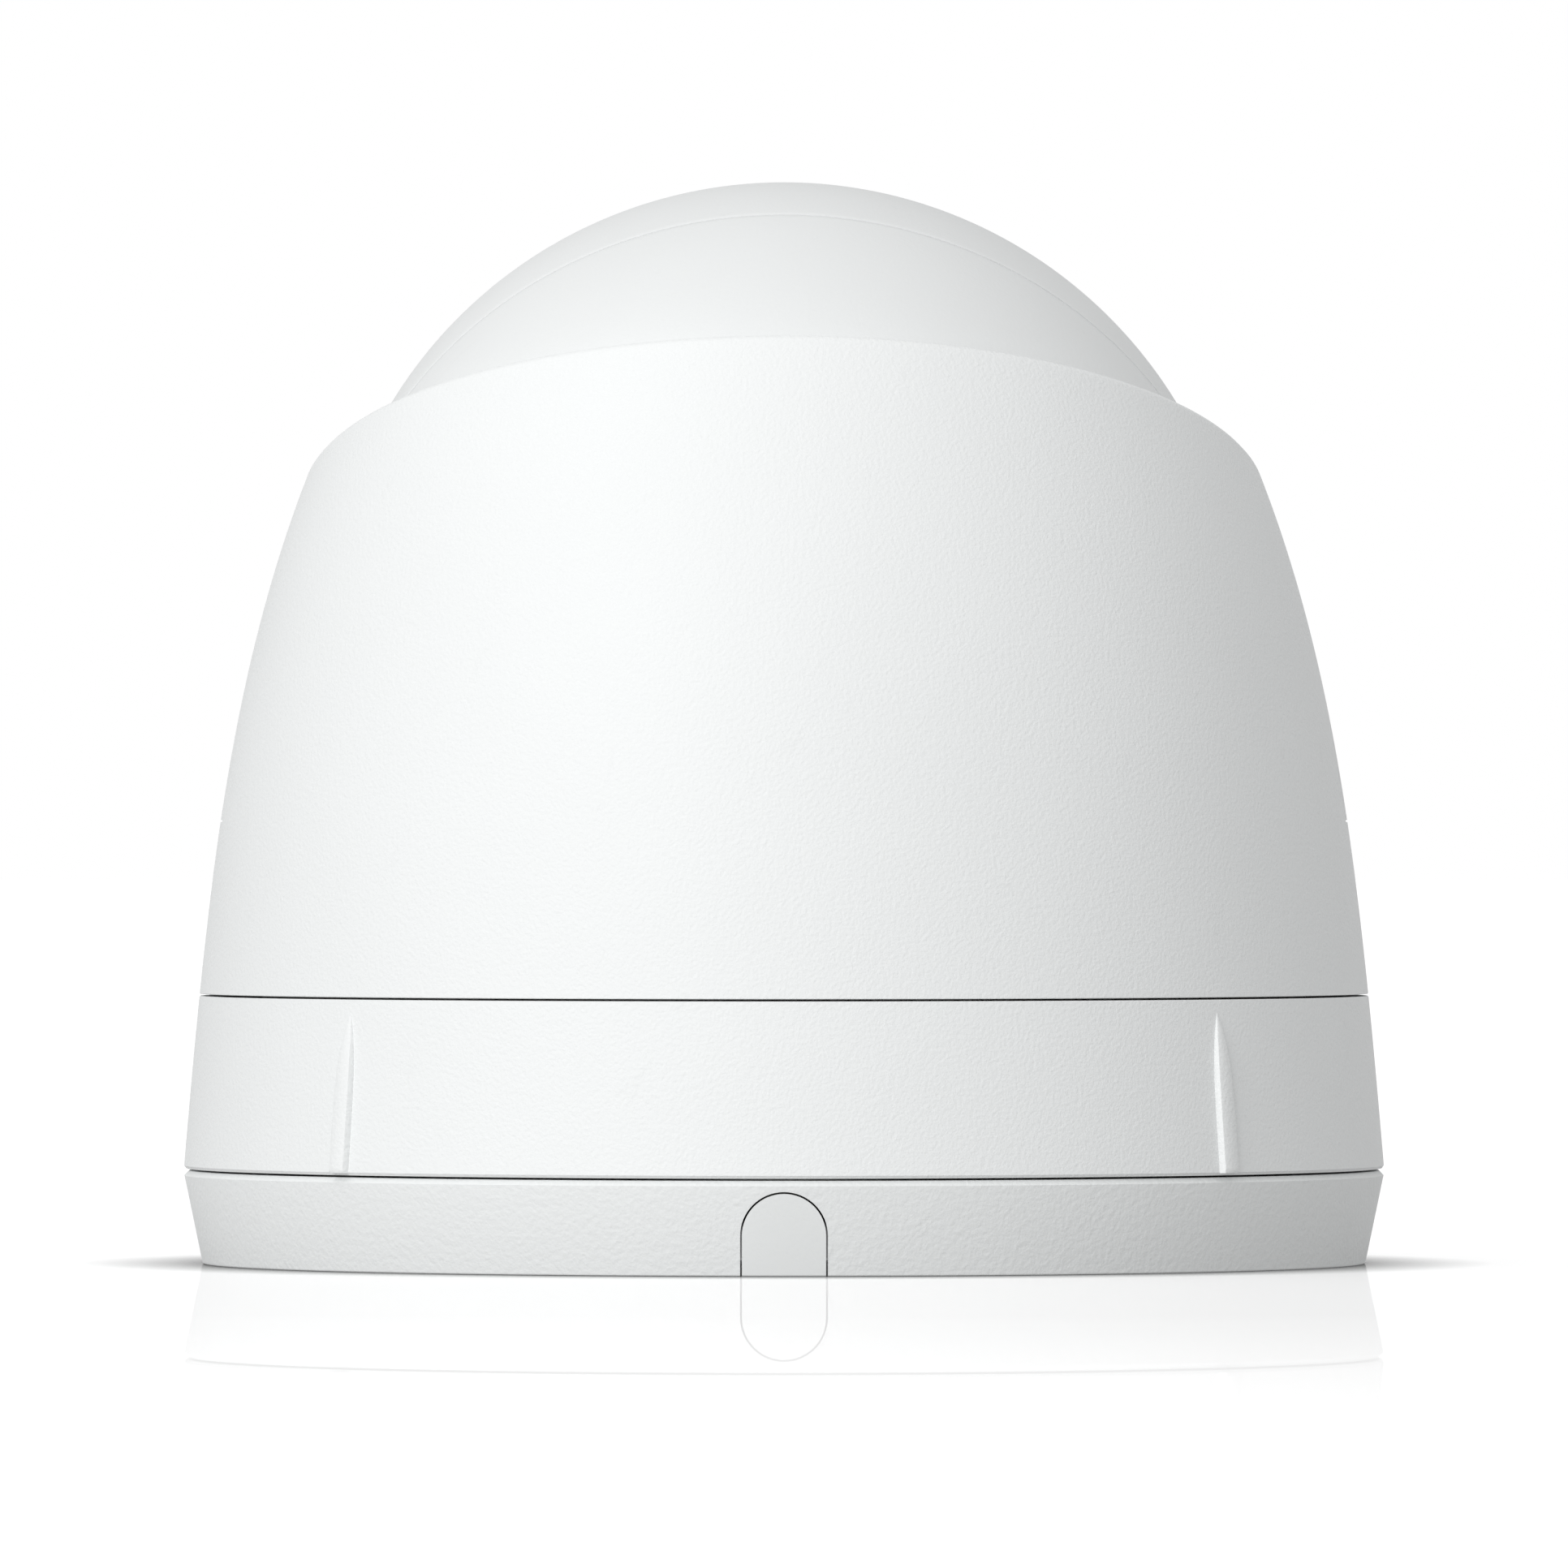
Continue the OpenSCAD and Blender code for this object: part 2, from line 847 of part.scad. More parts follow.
module harness_socket() {
  color([0.92, 0.90, 0.82])
    in_ball()
      difference() {
        block(socket_size[0], socket_size[1], main_board_z[0] - socket_size[2], main_board_z[0]);
        block(socket_size[0] - 1.2, socket_size[1] - 1.2, main_board_z[0] - socket_size[2] - cut,
          main_board_z[0] - 0.8);
      }
}

module board_screws() {
  color("silver")
    in_ball()
      around(post_at, [45, 135, 225, 315])
        screw(board_screw_r, board_screw_head_r, board_screw_head_h, main_board_z[0], -1.2);
}

module sensor_board() {
  color([0.10, 0.35, 0.20])
    in_ball()
      difference() {
        block(sensor_board_w, sensor_board_w, sensor_board_z[0], sensor_board_z[1]);
        for (x = [-1, 1], y = [-1, 1])
          translate([x * sensor_post_at, y * sensor_post_at, 0])
            disc(board_screw_r, 0, far, small_fn);
      }
}

module sensor_screws() {
  color("silver")
    in_ball()
      for (x = [-1, 1], y = [-1, 1])
        translate([x * sensor_post_at, y * sensor_post_at, 0])
          screw(board_screw_r, board_screw_head_r, board_screw_head_h, sensor_board_z[1], 1.2);
}

module image_sensor() {
  color([0.20, 0.22, 0.35])
    in_ball()
      block(9, 7, sensor_board_z[1], sensor_board_z[1] + 1);
}

module lens_holder() {
  color([0.08, 0.08, 0.09])
    in_ball()
      difference() {
        union() {
          block(holder_w, holder_w, sensor_board_z[1], holder_top);
          disc(holder_tube_r, holder_top - cut, holder_tube_top);
        }
        block(holder_in_w, holder_in_w, sensor_board_z[1] - cut, holder_roof);
        disc(lens_thread_r, holder_roof - cut, holder_tube_top + cut);
      }
}

module filter_frame() {
  color([0.15, 0.15, 0.16])
    in_ball()
      difference() {
        block(holder_in_w, holder_in_w, filter_frame_z[0], filter_frame_z[1]);
        disc(3.6, 0, far);
      }
}

module filter_coil() {
  color([0.72, 0.42, 0.22])
    in_ball()
      translate([0, 6, 0])
        block(4, 3.4, filter_frame_z[1], filter_frame_z[1] + 1.6);
}

// Frame of one pane of the filter slide: 0 is the day pane, 1 the night pane
module at_pane(i) {
  in_ball()
    translate([-filter_shift * i, 0, 0])
      children();
}

module filter_carrier() {
  color([0.20, 0.20, 0.21])
    difference() {
      in_ball()
        translate([-filter_shift / 2, 0, 0])
          block(filter_shift + filter_pane[0] + 2 * carrier_edge, carrier_w, carrier_z[0], carrier_z[1]);
      for (i = [0, 1])
        at_pane(i)
          block(filter_pane[0], filter_pane[1], carrier_z[0] - cut, carrier_z[1] + cut);
    }
}

module infrared_filter() {
  color([0.45, 0.75, 0.80, 0.6])
    at_pane(0)
      block(filter_pane[0], filter_pane[1], carrier_z[0] + 0.1, carrier_z[1] - 0.1);
}

module clear_filter() {
  color([0.85, 0.88, 0.90, 0.5])
    at_pane(1)
      block(filter_pane[0], filter_pane[1], carrier_z[0] + 0.1, carrier_z[1] - 0.1);
}

module lens_barrel() {
  color([0.08, 0.08, 0.09])
    in_ball()
      difference() {
        union() {
          disc(lens_thread_r, lens_thread_end, lens_head_z + cut);
          disc(lens_head_r, lens_head_z, lens_head_top);
        }
        disc(lens_bore_r, 0, far);
        disc(front_lens_r, front_lens_z, far);
      }
}

module lens_lock_ring() {
  color([0.45, 0.36, 0.18])
    in_ball()
      ring(lens_thread_r, lock_ring_r, lock_ring_z[0], lock_ring_z[1]);
}

// Lens with a flat rim and a domed front
module front_lens() {
  dome_rise = 1.6;
  dome_r = (front_lens_r * front_lens_r + dome_rise * dome_rise) / (2 * dome_rise);
  color([0.35, 0.40, 0.60, 0.6])
    in_ball()
      intersection() {
        disc(front_lens_r, front_lens_z, front_lens_top);
        translate([0, 0, front_lens_top - dome_r])
          sphere(r = dome_r);
      }
}

module rear_lens() {
  color([0.35, 0.40, 0.60, 0.6])
    in_ball()
      disc(lens_bore_r, rear_lens_z[0], rear_lens_z[1]);
}

module lens_baffle() {
  color([0.06, 0.06, 0.07])
    in_ball()
      ring(baffle_r[0], baffle_r[1], lamp_board_z[1], window_seat);
}

module lamp_board() {
  color([0.10, 0.12, 0.14])
    in_ball()
      difference() {
        ring(lamp_board_hole_r, lamp_board_r, lamp_board_z[0], lamp_board_z[1]);
        around(lamp_post_at, lamp_screw_angles)
          disc(board_screw_r, 0, far, small_fn);
      }
}

module lamp_screws() {
  color("silver")
    in_ball()
      around(lamp_post_at, lamp_screw_angles)
        screw(board_screw_r, board_screw_head_r, board_screw_head_h, lamp_board_z[0], front_plate_back + 0.3);
}

module infrared_lamps() {
  color([0.75, 0.72, 0.60])
    in_ball()
      around(lamp_ring_r, [for (i = [0 : lamp_count - 1]) 360 / lamp_count * (i + 0.5)]) {
        block(lamp_w, lamp_w, lamp_board_z[1], lamp_board_z[1] + lamp_base_h);
        translate([0, 0, lamp_board_z[1] + lamp_base_h])
          intersection() {
            sphere(r = lamp_dome_r, $fn = small_fn);
            disc(far, -cut, far);
          }
      }
}

module light_sensor() {
  color([0.80, 0.85, 0.90])
    in_ball()
      around(lamp_ring_r, [60])
        block(2, 1.6, lamp_board_z[1], lamp_board_z[1] + 0.8);
}

module status_light() {
  color([0.90, 0.90, 0.95])
    in_ball()
      around(lamp_ring_r, [240])
        block(1.6, 0.8, lamp_board_z[1], lamp_board_z[1] + 0.6);
}

module microphone() {
  color([0.75, 0.72, 0.55])
    in_ball()
      around(mic_hole_at, [270])
        block(2.4, 3.4, lamp_board_z[1], lamp_board_z[1] + 1);
}

module service_board() {
  color([0.10, 0.35, 0.20])
    in_port()
      block(17, 7.6, service_board_z[0], service_board_z[1]);
}

module card_socket() {
  color([0.70, 0.71, 0.73])
    in_port()
      translate([-1.9, 0, 0])
        block(6, 5.6, service_board_z[1], service_board_z[1] + 1.6);
}

// Frame of the reset button, beside the card socket
module at_button() {
  in_port()
    translate([3.15, 0, 0])
      children();
}

module reset_switch() {
  color([0.12, 0.12, 0.13])
    at_button()
      difference() {
        block(switch_w, switch_w, service_board_z[1], switch_top);
        disc(button_r + running_gap, service_board_z[1] + 0.1, far, small_fn);
      }
}

module reset_button() {
  color([0.75, 0.20, 0.15])
    at_button()
      disc(button_r, button_z[0], button_z[1], small_fn);
}

module service_cover() {
  color([0.94, 0.95, 0.95])
    in_port()
      difference() {
        intersection() {
          sphere(r = ball_r);
          linear_extrude(height = far)
            slot_outline(port_r, port_half);
        }
        sphere(r = cover_in_r);
        for (s = [-1, 1])
          translate([s * port_screw_at, 0, 0]) {
            disc(port_screw_r, 0, far, small_fn);
            disc(port_screw_head_r, port_screw_head_z, far, small_fn);
          }
      }
}

module service_seal() {
  color([0.12, 0.12, 0.13])
    in_port()
      difference() {
        intersection() {
          sphere(r = cover_in_r);
          linear_extrude(height = far)
            slot_outline(port_hole_r + service_seal_w, port_hole_half);
        }
        sphere(r = service_seal_in_r);
        linear_extrude(height = far)
          slot_outline(port_hole_r, port_hole_half);
      }
}

module service_screws() {
  color("silver")
    in_port()
      for (s = [-1, 1])
        translate([s * port_screw_at, 0, 0])
          screw(port_screw_r, port_screw_head_r, 0.5, port_screw_head_z, service_board_z[1] + 1.2);
}

mount_base();
base_gasket();
cable_entry_cover();
lower_band();
floor_tray();
tray_screws();
cable_grommet();
pan_seal();
shell();
front_fascia();
tilt_yoke();
trunnion_pins();
tilt_washers();
roll_washer();
roll_retainer();
ball_rear();
ball_front();
ball_seal();
ball_screws();
front_window();
window_gasket();
chassis_plate();
chassis_screws();
main_board();
processor();
thermal_pad();
harness_socket();
board_screws();
sensor_board();
sensor_screws();
image_sensor();
lens_holder();
filter_frame();
filter_coil();
filter_carrier();
infrared_filter();
clear_filter();
lens_barrel();
lens_lock_ring();
front_lens();
rear_lens();
lens_baffle();
lamp_board();
lamp_screws();
infrared_lamps();
light_sensor();
status_light();
microphone();
service_board();
card_socket();
reset_switch();
reset_button();
service_cover();
service_seal();
service_screws();
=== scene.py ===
"""Looks of a compact turret security camera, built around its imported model.

Everything is in metres, in the model's own frame: origin at the centre of the mounting face, +Z away from the
wall or ceiling, the cable entry towards -Y and the lens towards +Y.
"""

import logging
import math
from dataclasses import dataclass, field
from enum import Enum
from typing import Iterable, Sequence, Union

import bmesh
import bpy
import numpy as np
from mathutils import Matrix, Vector


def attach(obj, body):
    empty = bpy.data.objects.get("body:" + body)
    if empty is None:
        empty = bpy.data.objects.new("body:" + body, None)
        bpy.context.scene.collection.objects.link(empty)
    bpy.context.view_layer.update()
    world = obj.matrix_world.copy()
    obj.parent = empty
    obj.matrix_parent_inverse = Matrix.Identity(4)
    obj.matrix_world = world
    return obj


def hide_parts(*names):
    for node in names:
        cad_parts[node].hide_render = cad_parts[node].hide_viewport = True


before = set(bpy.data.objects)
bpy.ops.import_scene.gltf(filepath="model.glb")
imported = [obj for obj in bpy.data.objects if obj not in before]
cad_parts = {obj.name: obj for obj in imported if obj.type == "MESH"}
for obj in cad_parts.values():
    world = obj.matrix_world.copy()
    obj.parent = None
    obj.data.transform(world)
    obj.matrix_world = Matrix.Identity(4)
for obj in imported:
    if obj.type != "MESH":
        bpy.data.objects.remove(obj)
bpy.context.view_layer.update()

LOG = logging.getLogger("turret_camera")
MM = 0.001
AROUND = 288            # columns of a large turned piece
ROUND_STEPS = 4         # chords in the round of a corner
MERGE = 1e-7            # vertices closer than this are merged
SMOOTH_DEGREES = 32     # edges sharper than this stay sharp
FINISH = "finish_"      # starts the names of the finishes, so that none meets a material of the CAD model

UPRIGHT = Matrix.Identity(4)
BACKWARDS = Matrix.Rotation(math.radians(90), 4, "X")
SIDEWAYS = Matrix(((0, 0, 1, 0), (1, 0, 0, 0), (0, 1, 0, 0), (0, 0, 0, 1)))

Number = Union[float, "Field"]
Point2 = tuple[float, float]
Colour = tuple[float, float, float]


def mm(*rows: Sequence[float]) -> list[tuple[float, ...]]:
    """Turns rows of millimetres into rows of metres."""
    return [tuple(value * MM for value in row) for row in rows]


# --- numbers worked out by nodes -------------------------------------------------------------------------------

class Field:
    """A number that a node tree works out, written with Python's own operators."""

    def __init__(self, tree: bpy.types.NodeTree, socket: bpy.types.NodeSocket) -> None:
        """Wraps an output socket.

        Args:
            tree: The node tree that the socket is in.
            socket: The output that carries the number.
        """
        self.tree = tree
        self.socket = socket

    def math(self, operation: str, *others: Number, clamp: bool = False) -> "Field":
        """Adds a Math node with this number as its first input.

        Args:
            operation: The Math node's operation.
            others: The other inputs, as numbers or fields.
            clamp: Whether the result is held between 0 and 1.

        Returns:
            The node's result.
        """
        node = self.tree.nodes.new("ShaderNodeMath")
        node.operation, node.use_clamp = operation, clamp
        for place, value in enumerate((self, *others)):
            if isinstance(value, Field):
                self.tree.links.new(value.socket, node.inputs[place])
            else:
                node.inputs[place].default_value = value
        return Field(self.tree, node.outputs[0])

    def __add__(self, other: Number) -> "Field":
        """Sum."""
        return self.math("ADD", other)

    def __sub__(self, other: Number) -> "Field":
        """Difference."""
        return self.math("SUBTRACT", other)

    def __mul__(self, other: Number) -> "Field":
        """Product."""
        return self.math("MULTIPLY", other)

    def __truediv__(self, other: Number) -> "Field":
        """Quotient."""
        return self.math("DIVIDE", other)

    def __pow__(self, other: Number) -> "Field":
        """Power."""
        return self.math("POWER", other)

    def mix(self, low: Number, high: Number) -> "Field":
        """Goes from low to high as this number goes from 0 to 1."""
        return self * (low * -1 + high) + low


class Recipe:
    """A Geometry Nodes tree with named inputs, ending in Realize Instances and Set Material."""

    def __init__(self, name: str, numbers: dict[str, float]) -> None:
        """Starts the tree.

        Args:
            name: The tree's name.
            numbers: Its number inputs and their usual values.
        """
        self.group = bpy.data.node_groups.new(name, "GeometryNodeTree")
        interface = self.group.interface
        self.keys: dict[str, str] = {}
        interface.new_socket("Geometry", in_out="INPUT", socket_type="NodeSocketGeometry")
        for label, value in numbers.items():
            socket = interface.new_socket(label, in_out="INPUT", socket_type="NodeSocketFloat")
            socket.default_value = value
            self.keys[label] = socket.identifier
        socket = interface.new_socket("Material", in_out="INPUT", socket_type="NodeSocketMaterial")
        self.keys["Material"] = socket.identifier
        interface.new_socket("Geometry", in_out="OUTPUT", socket_type="NodeSocketGeometry")
        self.source = self.group.nodes.new("NodeGroupInput")
        self.sink = self.group.nodes.new("NodeGroupOutput")

    def number(self, label: str) -> Field:
        """A named number input."""
        return Field(self.group, self.source.outputs[label])

    def attribute(self, label: str) -> Field:
        """A number that each of the incoming vertices carries."""
        node = self.add("GeometryNodeInputNamedAttribute", data_type="FLOAT")
        node.inputs["Name"].default_value = label
        return Field(self.group, node.outputs["Attribute"])

    def add(self, kind: str, links: dict | None = None, **settings: object) -> bpy.types.Node:
        """Adds a node.

        Args:
            kind: The node's type.
            links: What feeds each of its inputs: a socket, a field or a plain value.
            settings: Properties of the node itself.

        Returns:
            The node.
        """
        node = self.group.nodes.new(kind)
        for key, value in settings.items():
            setattr(node, key, value)
        for label, value in (links or {}).items():
            if isinstance(value, Field):
                value = value.socket
            if isinstance(value, bpy.types.NodeSocket):
                self.group.links.new(value, node.inputs[label])
            else:
                node.inputs[label].default_value = value
        return node

    def vector(self, x: Number, y: Number, z: Number) -> bpy.types.NodeSocket:
        """Joins three numbers into a vector."""
        return self.add("ShaderNodeCombineXYZ", {"X": x, "Y": y, "Z": z}).outputs[0]

    def close(self, geometry: bpy.types.NodeSocket) -> "Recipe":
        """Ends the tree.

        Args:
            geometry: What the tree gives out.

        Returns:
            The finished recipe.
        """
        real = self.add("GeometryNodeRealizeInstances", {"Geometry": geometry})
        dressed = self.add("GeometryNodeSetMaterial", {
            "Geometry": real.outputs[0], "Material": self.source.outputs["Material"]})
        self.group.links.new(dressed.outputs[0], self.sink.inputs[0])
        return self

    def apply(self, start: bpy.types.Object, name: str, material: bpy.types.Material,
              values: dict[str, float]) -> bpy.types.Object:
        """Runs the tree on an object and keeps the result as a plain mesh.

        Args:
            start: The object that the tree starts from. It is removed.
            name: The name of the piece.
            material: The piece's material.
            values: Input values that differ from the usual ones.

        Returns:
            The piece.
        """
        modifier = start.modifiers.new("recipe", "NODES")
        modifier.node_group = self.group
        for label, value in {**values, "Material": material}.items():
            modifier[self.keys[label]] = value
        start.update_tag()
        bpy.context.view_layer.update()
        evaluated = start.evaluated_get(bpy.context.evaluated_depsgraph_get())
        mesh = bpy.data.meshes.new_from_object(evaluated)
        start.modifiers.remove(modifier)
        bpy.data.objects.remove(start)
        return as_object(mesh, name)


# --- meshes ----------------------------------------------------------------------------------------------------

def as_object(mesh: bpy.types.Mesh, name: str) -> bpy.types.Object:
    """Puts a mesh in the scene, at the origin.

    Args:
        mesh: The mesh.
        name: The name of the object and the mesh.

    Returns:
        The object.
    """
    piece = bpy.data.objects.new(name, mesh)
    mesh.name = name
    bpy.context.scene.collection.objects.link(piece)
    return piece


def mesh_object(points: np.ndarray, faces: Iterable[Sequence[int]], name: str) -> bpy.types.Object:
    """Makes an object from points and faces, merged and with its faces outward.

    Args:
        points: One row for each vertex.
        faces: The vertices of each face.
        name: The object's name.

    Returns:
        The object.
    """
    mesh = bpy.data.meshes.new(name)
    mesh.from_pydata(points.tolist(), [], [list(face) for face in faces])
    clean(mesh)
    return as_object(mesh, name)


def clean(mesh: bpy.types.Mesh) -> None:
    """Merges doubles, drops collapsed faces and turns the faces outward."""
    work = bmesh.new()
    work.from_mesh(mesh)
    bmesh.ops.remove_doubles(work, verts=work.verts, dist=MERGE)
    bmesh.ops.dissolve_degenerate(work, dist=MERGE, edges=work.edges)
    bmesh.ops.recalc_face_normals(work, faces=work.faces)
    work.to_mesh(mesh)
    work.free()


def smooth(piece: bpy.types.Object) -> bpy.types.Object:
    """Shades a piece smooth, apart from its sharp edges, and gives it back."""
    piece.data.shade_smooth()
    piece.data.set_sharp_from_angle(angle=math.radians(SMOOTH_DEGREES))
    return piece


def rounded(corners: Sequence[tuple[float, float, float]], closed: bool = True) -> list[Point2]:
    """Rounds the corners of an outline.

    Args:
        corners: Each corner's place and the radius of its round, 0 for a sharp one.
        closed: Whether the outline's ends join.

    Returns:
        The outline's points.
    """
    line: list[Point2] = []
    count = len(corners)
    for place, (x, y, radius) in enumerate(corners):
        here = Vector((x, y))
        before = Vector(corners[place - 1][:2]) - here
        after = Vector(corners[(place + 1) % count][:2]) - here
        at_end = not closed and place in (0, count - 1)
        if radius <= 0 or at_end or before.length < 1e-9 or after.length < 1e-9:
            line.append((x, y))
            continue
        before_way, after_way = before.normalized(), after.normalized()
        half = before_way.angle(after_way) / 2
        reach = min(radius / math.tan(half), before.length * 0.49, after.length * 0.49)
        start, end = here + before_way * reach, here + after_way * reach
        centre = here + (before_way + after_way).normalized() * (reach / math.cos(half))
        first, last = start - centre, end - centre
        for step in range(ROUND_STEPS + 1):
            way = first.slerp(last, step / ROUND_STEPS, first) * first.length
            line.append(tuple(centre + way))
    return line


def arc(centre: Point2, radius: float, start: float, end: float, steps: int) -> list[Point2]:
    """Points of an arc, from one angle to another in degrees."""
    angles = np.radians(np.linspace(start, end, steps + 1))
    return [(centre[0] + radius * math.cos(a), centre[1] + radius * math.sin(a)) for a in angles]


def ring_faces(columns: int, rows: int) -> list[tuple[int, int, int, int]]:
    """Faces of a grid that joins up both ways, its points numbered column by column."""
    return [(c * rows + r, c * rows + (r + 1) % rows, (c + 1) % columns * rows + (r + 1) % rows,
             (c + 1) % columns * rows + r) for c in range(columns) for r in range(rows)]


def turned(outline: Sequence[Point2], name: str = "tool", columns: int = 96,
           place: Matrix = UPRIGHT) -> bpy.types.Object:
    """Turns a closed outline round the Z axis.

    Args:
        outline: Radius and height of each point. The last joins the first.
        name: The object's name.
        columns: Steps round the axis.
        place: Where the piece goes.

    Returns:
        The closed, smooth-shaded piece.
    """
    angles = np.arange(columns) * 2 * np.pi / columns
    radii, heights = np.array(outline, float).T
    grid = np.stack([np.outer(np.cos(angles), radii), np.outer(np.sin(angles), radii),
                     np.tile(heights, (columns, 1))], axis=2)
    piece = mesh_object(grid.reshape(-1, 3), ring_faces(columns, len(outline)), name)
    piece.data.transform(place)
    return smooth(piece)


def prism(outline: Sequence[Point2], low: float, high: float, place: Matrix = UPRIGHT) -> bpy.types.Object:
    """Extrudes a closed outline along Z.

    Args:
        outline: Points of the outline.
        low: Where the extrusion starts.
        high: Where it ends.
        place: Where the result goes.

    Returns:
        The closed piece.
    """
    flat = np.array(outline, float)
    count = len(flat)
    points = np.vstack([np.column_stack([flat, np.full(count, z)]) for z in (low, high)])
    sides = [(i, (i + 1) % count, count + (i + 1) % count, count + i) for i in range(count)]
    piece = mesh_object(points, [*sides, range(count), range(count, 2 * count)], "tool")
    piece.data.transform(place)
    return piece


def disc_outline(radius: float, steps: int = 48) -> list[Point2]:
    """Outline of a centred disc."""
    return arc((0, 0), radius, 0, 360 - 360 / steps, steps - 1)


def slot_outline(radius: float, half: float, steps: int = 24) -> list[Point2]:
    """Outline of a centred slot with round ends, long along X."""
    return arc((half, 0), radius, -90, 90, steps) + arc((-half, 0), radius, 90, 270, steps)


def box_outline(width: float, depth: float, corner: float = 0) -> list[Point2]:
    """Outline of a centred rectangle with rounded corners."""
    w, d = width / 2, depth / 2
    return rounded([(-w, -d, corner), (w, -d, corner), (w, d, corner), (-w, d, corner)])


class Cut(Enum):
    """How one solid changes another."""

    AWAY = "DIFFERENCE"
    ONTO = "UNION"
    WITHIN = "INTERSECT"


def carve(piece: bpy.types.Object, tools: Sequence[bpy.types.Object], cut: Cut = Cut.AWAY) -> bpy.types.Object:
    """Cuts a piece with other solids, which are used up.

    Args:
        piece: The piece to change.
        tools: The solids to cut with, one after another.
        cut: What is kept.

    Returns:
        The same piece, with its new mesh.
    """
    for tool in tools:
        modifier = piece.modifiers.new("cut", "BOOLEAN")
        modifier.operation = cut.value
        modifier.solver = "MANIFOLD"
        modifier.object = tool
        bpy.context.view_layer.update()
        mesh = bpy.data.meshes.new_from_object(piece.evaluated_get(bpy.context.evaluated_depsgraph_get()))
        piece.modifiers.remove(modifier)
        old, piece.data = piece.data, mesh
        bpy.data.meshes.remove(old)
        bpy.data.objects.remove(tool)
    clean(piece.data)
    return smooth(piece)


def renamed(piece: bpy.types.Object, name: str) -> bpy.types.Object:
    """Gives a piece and its mesh a name, and gives the piece back."""
    piece.name = piece.data.name = name
    return piece


def joined(pieces: Sequence[bpy.types.Object], name: str) -> bpy.types.Object:
    """Joins pieces into one object, in order.

    Args:
        pieces: The pieces, which are used up.
        name: The name of the result.

    Returns:
        The joined piece.
    """
    work = bmesh.new()
    for piece in pieces:
        work.from_mesh(piece.data)
        bpy.data.objects.remove(piece)
    mesh = bpy.data.meshes.new(name)
    work.to_mesh(mesh)
    work.free()
    return smooth(as_object(mesh, name))


# --- the rule that the band, the shell and the fascia share ----------------------------------------------------

@dataclass(frozen=True)
class HousingRule:
    """Outline of the housing wall, and the oblique rim that ends it, which is found in a few rounds."""

    skirt: float = 43.1 * MM
    lean: float = 5 * MM
    crown: float = 6.1 * MM
    power: float = 3.66
    height: float = 60 * MM
    rounds: int = 6
    rim_middle: float = 55.9 * MM
    rim_degrees: float = 17.5
    ball_z: float = 44 * MM
    lip_r: float = 33 * MM

    def radius(self, z: Number) -> Number:
        """Radius of the outline at a height, as a number or as a field."""
        up = z / self.height
        return (up * -self.lean + self.skirt) - (up ** self.power) * self.crown

    def recipe(self) -> Recipe:
        """The tree that places a wall's vertices from what each of them carries.

        Returns:
            A recipe for a grid whose vertices carry angle, level, drop, depth and lip. Level goes from the foot, 0,
            to the rim, 1; drop is a distance below that; depth is a distance in from the outline; and lip is 1 on
            the round hollow that faces the ball.
        """
        tree = Recipe("HousingWall", {
            "Foot": 0.0, "Rim Middle": self.rim_middle, "Rim Slope": math.tan(math.radians(self.rim_degrees))})
        angle, level = tree.attribute("angle"), tree.attribute("level")
        drop, depth, lip = tree.attribute("drop"), tree.attribute("depth"), tree.attribute("lip")
        sine, cosine = angle.math("SINE"), angle.math("COSINE")

        def reach(z: Field) -> Field:
            """Distance from the axis to this vertex, if it is at height z."""
            off = z - self.ball_z
            hollow = (off * off * -1 + self.lip_r ** 2).math("MAXIMUM", 0.0).math("SQRT")
            return lip.mix(self.radius(z) - depth, hollow)

        foot, middle, slope = (tree.number(label) for label in ("Foot", "Rim Middle", "Rim Slope"))
        rim = middle
        for _ in range(self.rounds):
            rim = middle - slope * sine * reach(rim)
        z = level.mix(foot, rim) - drop
        r = reach(z)
        moved = tree.add("GeometryNodeSetPosition", {
            "Geometry": tree.source.outputs["Geometry"], "Position": tree.vector(r * cosine, r * sine, z)})
        return tree.close(moved.outputs[0])


@dataclass(frozen=True)
class WallPoint:
    """One point of a wall's section, as the housing rule places it."""

    level: float
    drop: float = 0.0
    depth: float = 0.0
    lip: float = 0.0


def carrier(faces: Iterable[Sequence[int]], carried: dict[str, Sequence[float]]) -> bpy.types.Object:
    """A mesh for a recipe to place, with every vertex still at the origin.

    Args:
        faces: The vertices of each face.
        carried: The numbers that the vertices carry, by name.

    Returns:
        The mesh as an object.
    """
    mesh = bpy.data.meshes.new("carrier")
    count = len(next(iter(carried.values())))
    mesh.from_pydata([(0.0, 0.0, 0.0)] * count, [], [list(face) for face in faces])
    for label, values in carried.items():
        mesh.attributes.new(label, "FLOAT", "POINT").data.foreach_set("value", np.array(values, np.float32))
    return as_object(mesh, "carrier")


def wall_grid(section: Sequence[WallPoint]) -> bpy.types.Object:
    """A ring-shaped grid that carries what the housing rule reads, round a section whose ends join."""
    rows = len(section)
    carried = {"angle": np.repeat(np.arange(AROUND) * 2 * np.pi / AROUND, rows)}
    for label in ("level", "drop", "depth", "lip"):
        carried[label] = np.tile([getattr(point, label) for point in section], AROUND)
    return carrier(ring_faces(AROUND, rows), carried)


# --- finishes --------------------------------------------------------------------------------------------------

